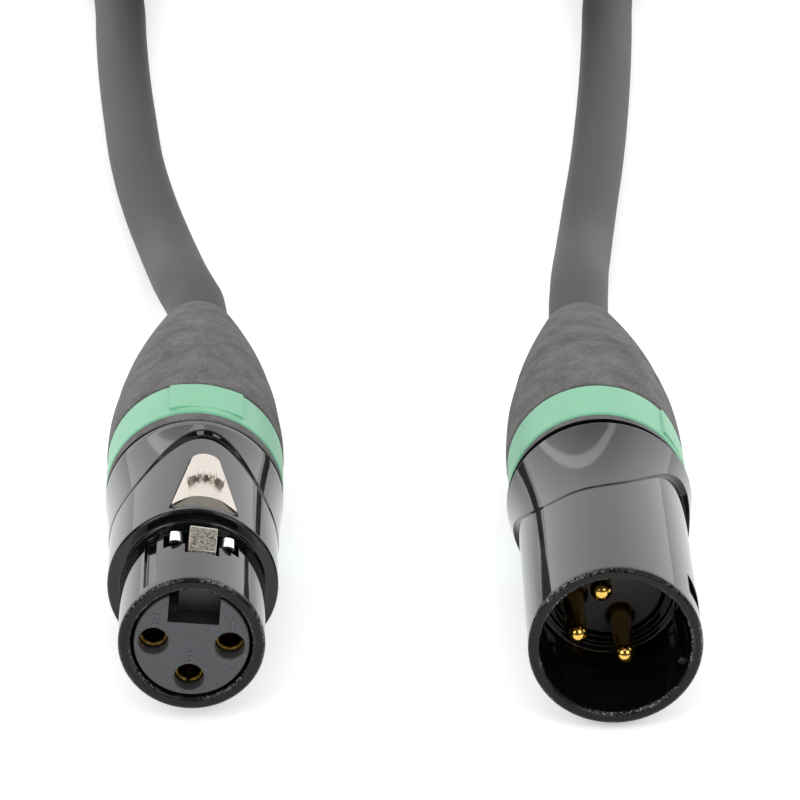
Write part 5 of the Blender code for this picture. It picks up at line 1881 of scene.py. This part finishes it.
def floor_material():
    """Matte white card: it takes the soft shadow; the eye and shiny pieces see it a little lifted, as clean white."""
    material = blank_material("white_card_sweep")
    tree = material.node_tree
    card = grain(tree, 40.0, 2.0)
    base = tuple(bpy.context.scene.cable_stage.floor_colour)
    tone = ramp(tree, card.outputs["Fac"], 0.2, 0.8, scaled(base, 0.995), base)
    path = add_node(tree, "LightPath")
    seen = add_node(
        tree, "Math", {"operation": "MAXIMUM"}, {0: path.outputs["Is Camera Ray"], 1: path.outputs["Is Glossy Ray"]}
    )
    seen = add_node(
        tree, "Math", {"operation": "MAXIMUM"}, {0: seen.outputs["Value"], 1: path.outputs["Is Transmission Ray"]}
    )
    lift = add_node(tree, "Math", {"operation": "MULTIPLY", 1: FLOOR_LIFT}, {0: seen.outputs["Value"]})
    return shaded(
        material,
        {"Roughness": 0.95, "Specular IOR Level": 0.1, "Emission Color": (1.0, 1.0, 1.0, 1.0)},
        {"Base Color": tone.outputs["Color"], "Emission Strength": lift.outputs["Value"]},
    )


class CABLE_OT_stage(bpy.types.Operator):
    """Pale floor, soft boxes, white surroundings and the camera."""

    bl_idname = "cable.stage"
    bl_label = "Stage"

    def execute(self, context):
        settings = context.scene.cable_stage
        context.scene.view_settings.view_transform = "Standard"
        bm = bmesh.new()
        bmesh.ops.create_circle(bm, cap_ends=True, segments=96, radius=FLOOR_RADIUS)
        mesh = as_mesh("floor", bm)
        mesh.transform(Matrix.Translation(FLOOR_CENTRE))
        mesh.materials.append(floor_material())
        floor = linked("floor", mesh)
        studio_world()
        for name, (azimuth, elevation, away, size, power, roll) in LAMPS.items():
            soft_box(name, azimuth, elevation, away, size, power * settings.lamp_level, roll)
        lens = bpy.data.cameras.new("camera")
        lens.lens = settings.focal_length
        lens.sensor_width = 36.0
        lens.clip_start, lens.clip_end = 0.01, 50.0
        camera = linked("camera", lens)
        azimuth = math.radians(CAMERA_AZIMUTH)
        camera.location = (
            -math.sin(azimuth) * settings.camera_distance,
            CAMERA_AIM_Y - math.cos(azimuth) * settings.camera_distance,
            settings.camera_height,
        )
        camera.rotation_euler = (math.radians(90.0 - CAMERA_TILT), 0.0, -azimuth)
        context.scene.camera = camera
        return {"FINISHED"}


GROUPS = {
    "cable_connectors": CABLE_PG_connectors,
    "cable_boots": CABLE_PG_boots,
    "cable_cable": CABLE_PG_cable,
    "cable_finishes": CABLE_PG_finishes,
    "cable_stage": CABLE_PG_stage,
}
OPERATORS = (
    CABLE_OT_stage,
    CABLE_OT_tie,
    CABLE_OT_cable,
    CABLE_OT_female_shell,
    CABLE_OT_male_shell,
    CABLE_OT_inserts,
    CABLE_OT_contacts,
    CABLE_OT_latch,
    CABLE_OT_latch_spring,
    CABLE_OT_coding_rings,
    CABLE_OT_boots,
    CABLE_OT_inner_pieces,
)


class CABLE_PT_panel(bpy.types.Panel):
    """Lists the pieces and their sizes."""

    bl_label = "Audio cable"
    bl_idname = "CABLE_PT_panel"
    bl_space_type = "VIEW_3D"
    bl_region_type = "UI"
    bl_category = "Audio cable"

    def draw(self, context):
        for operator in OPERATORS:
            self.layout.operator(operator.bl_idname)
        for name, group in GROUPS.items():
            settings = getattr(context.scene, name)
            box = self.layout.box()
            for prop in group.__annotations__:
                box.prop(settings, prop)


def register():
    for group in GROUPS.values():
        bpy.utils.register_class(group)
    for name, group in GROUPS.items():
        setattr(bpy.types.Scene, name, PointerProperty(type=group))
    for item in (*OPERATORS, CABLE_PT_panel):
        bpy.utils.register_class(item)


def unregister():
    for item in (CABLE_PT_panel, *reversed(OPERATORS)):
        bpy.utils.unregister_class(item)
    for name in GROUPS:
        delattr(bpy.types.Scene, name)
    for group in reversed(GROUPS.values()):
        bpy.utils.unregister_class(group)


def main():
    register()
    for operator in OPERATORS:
        category, name = operator.bl_idname.split(".")
        getattr(getattr(bpy.ops, category), name)()


if __name__ == "__main__":
    main()
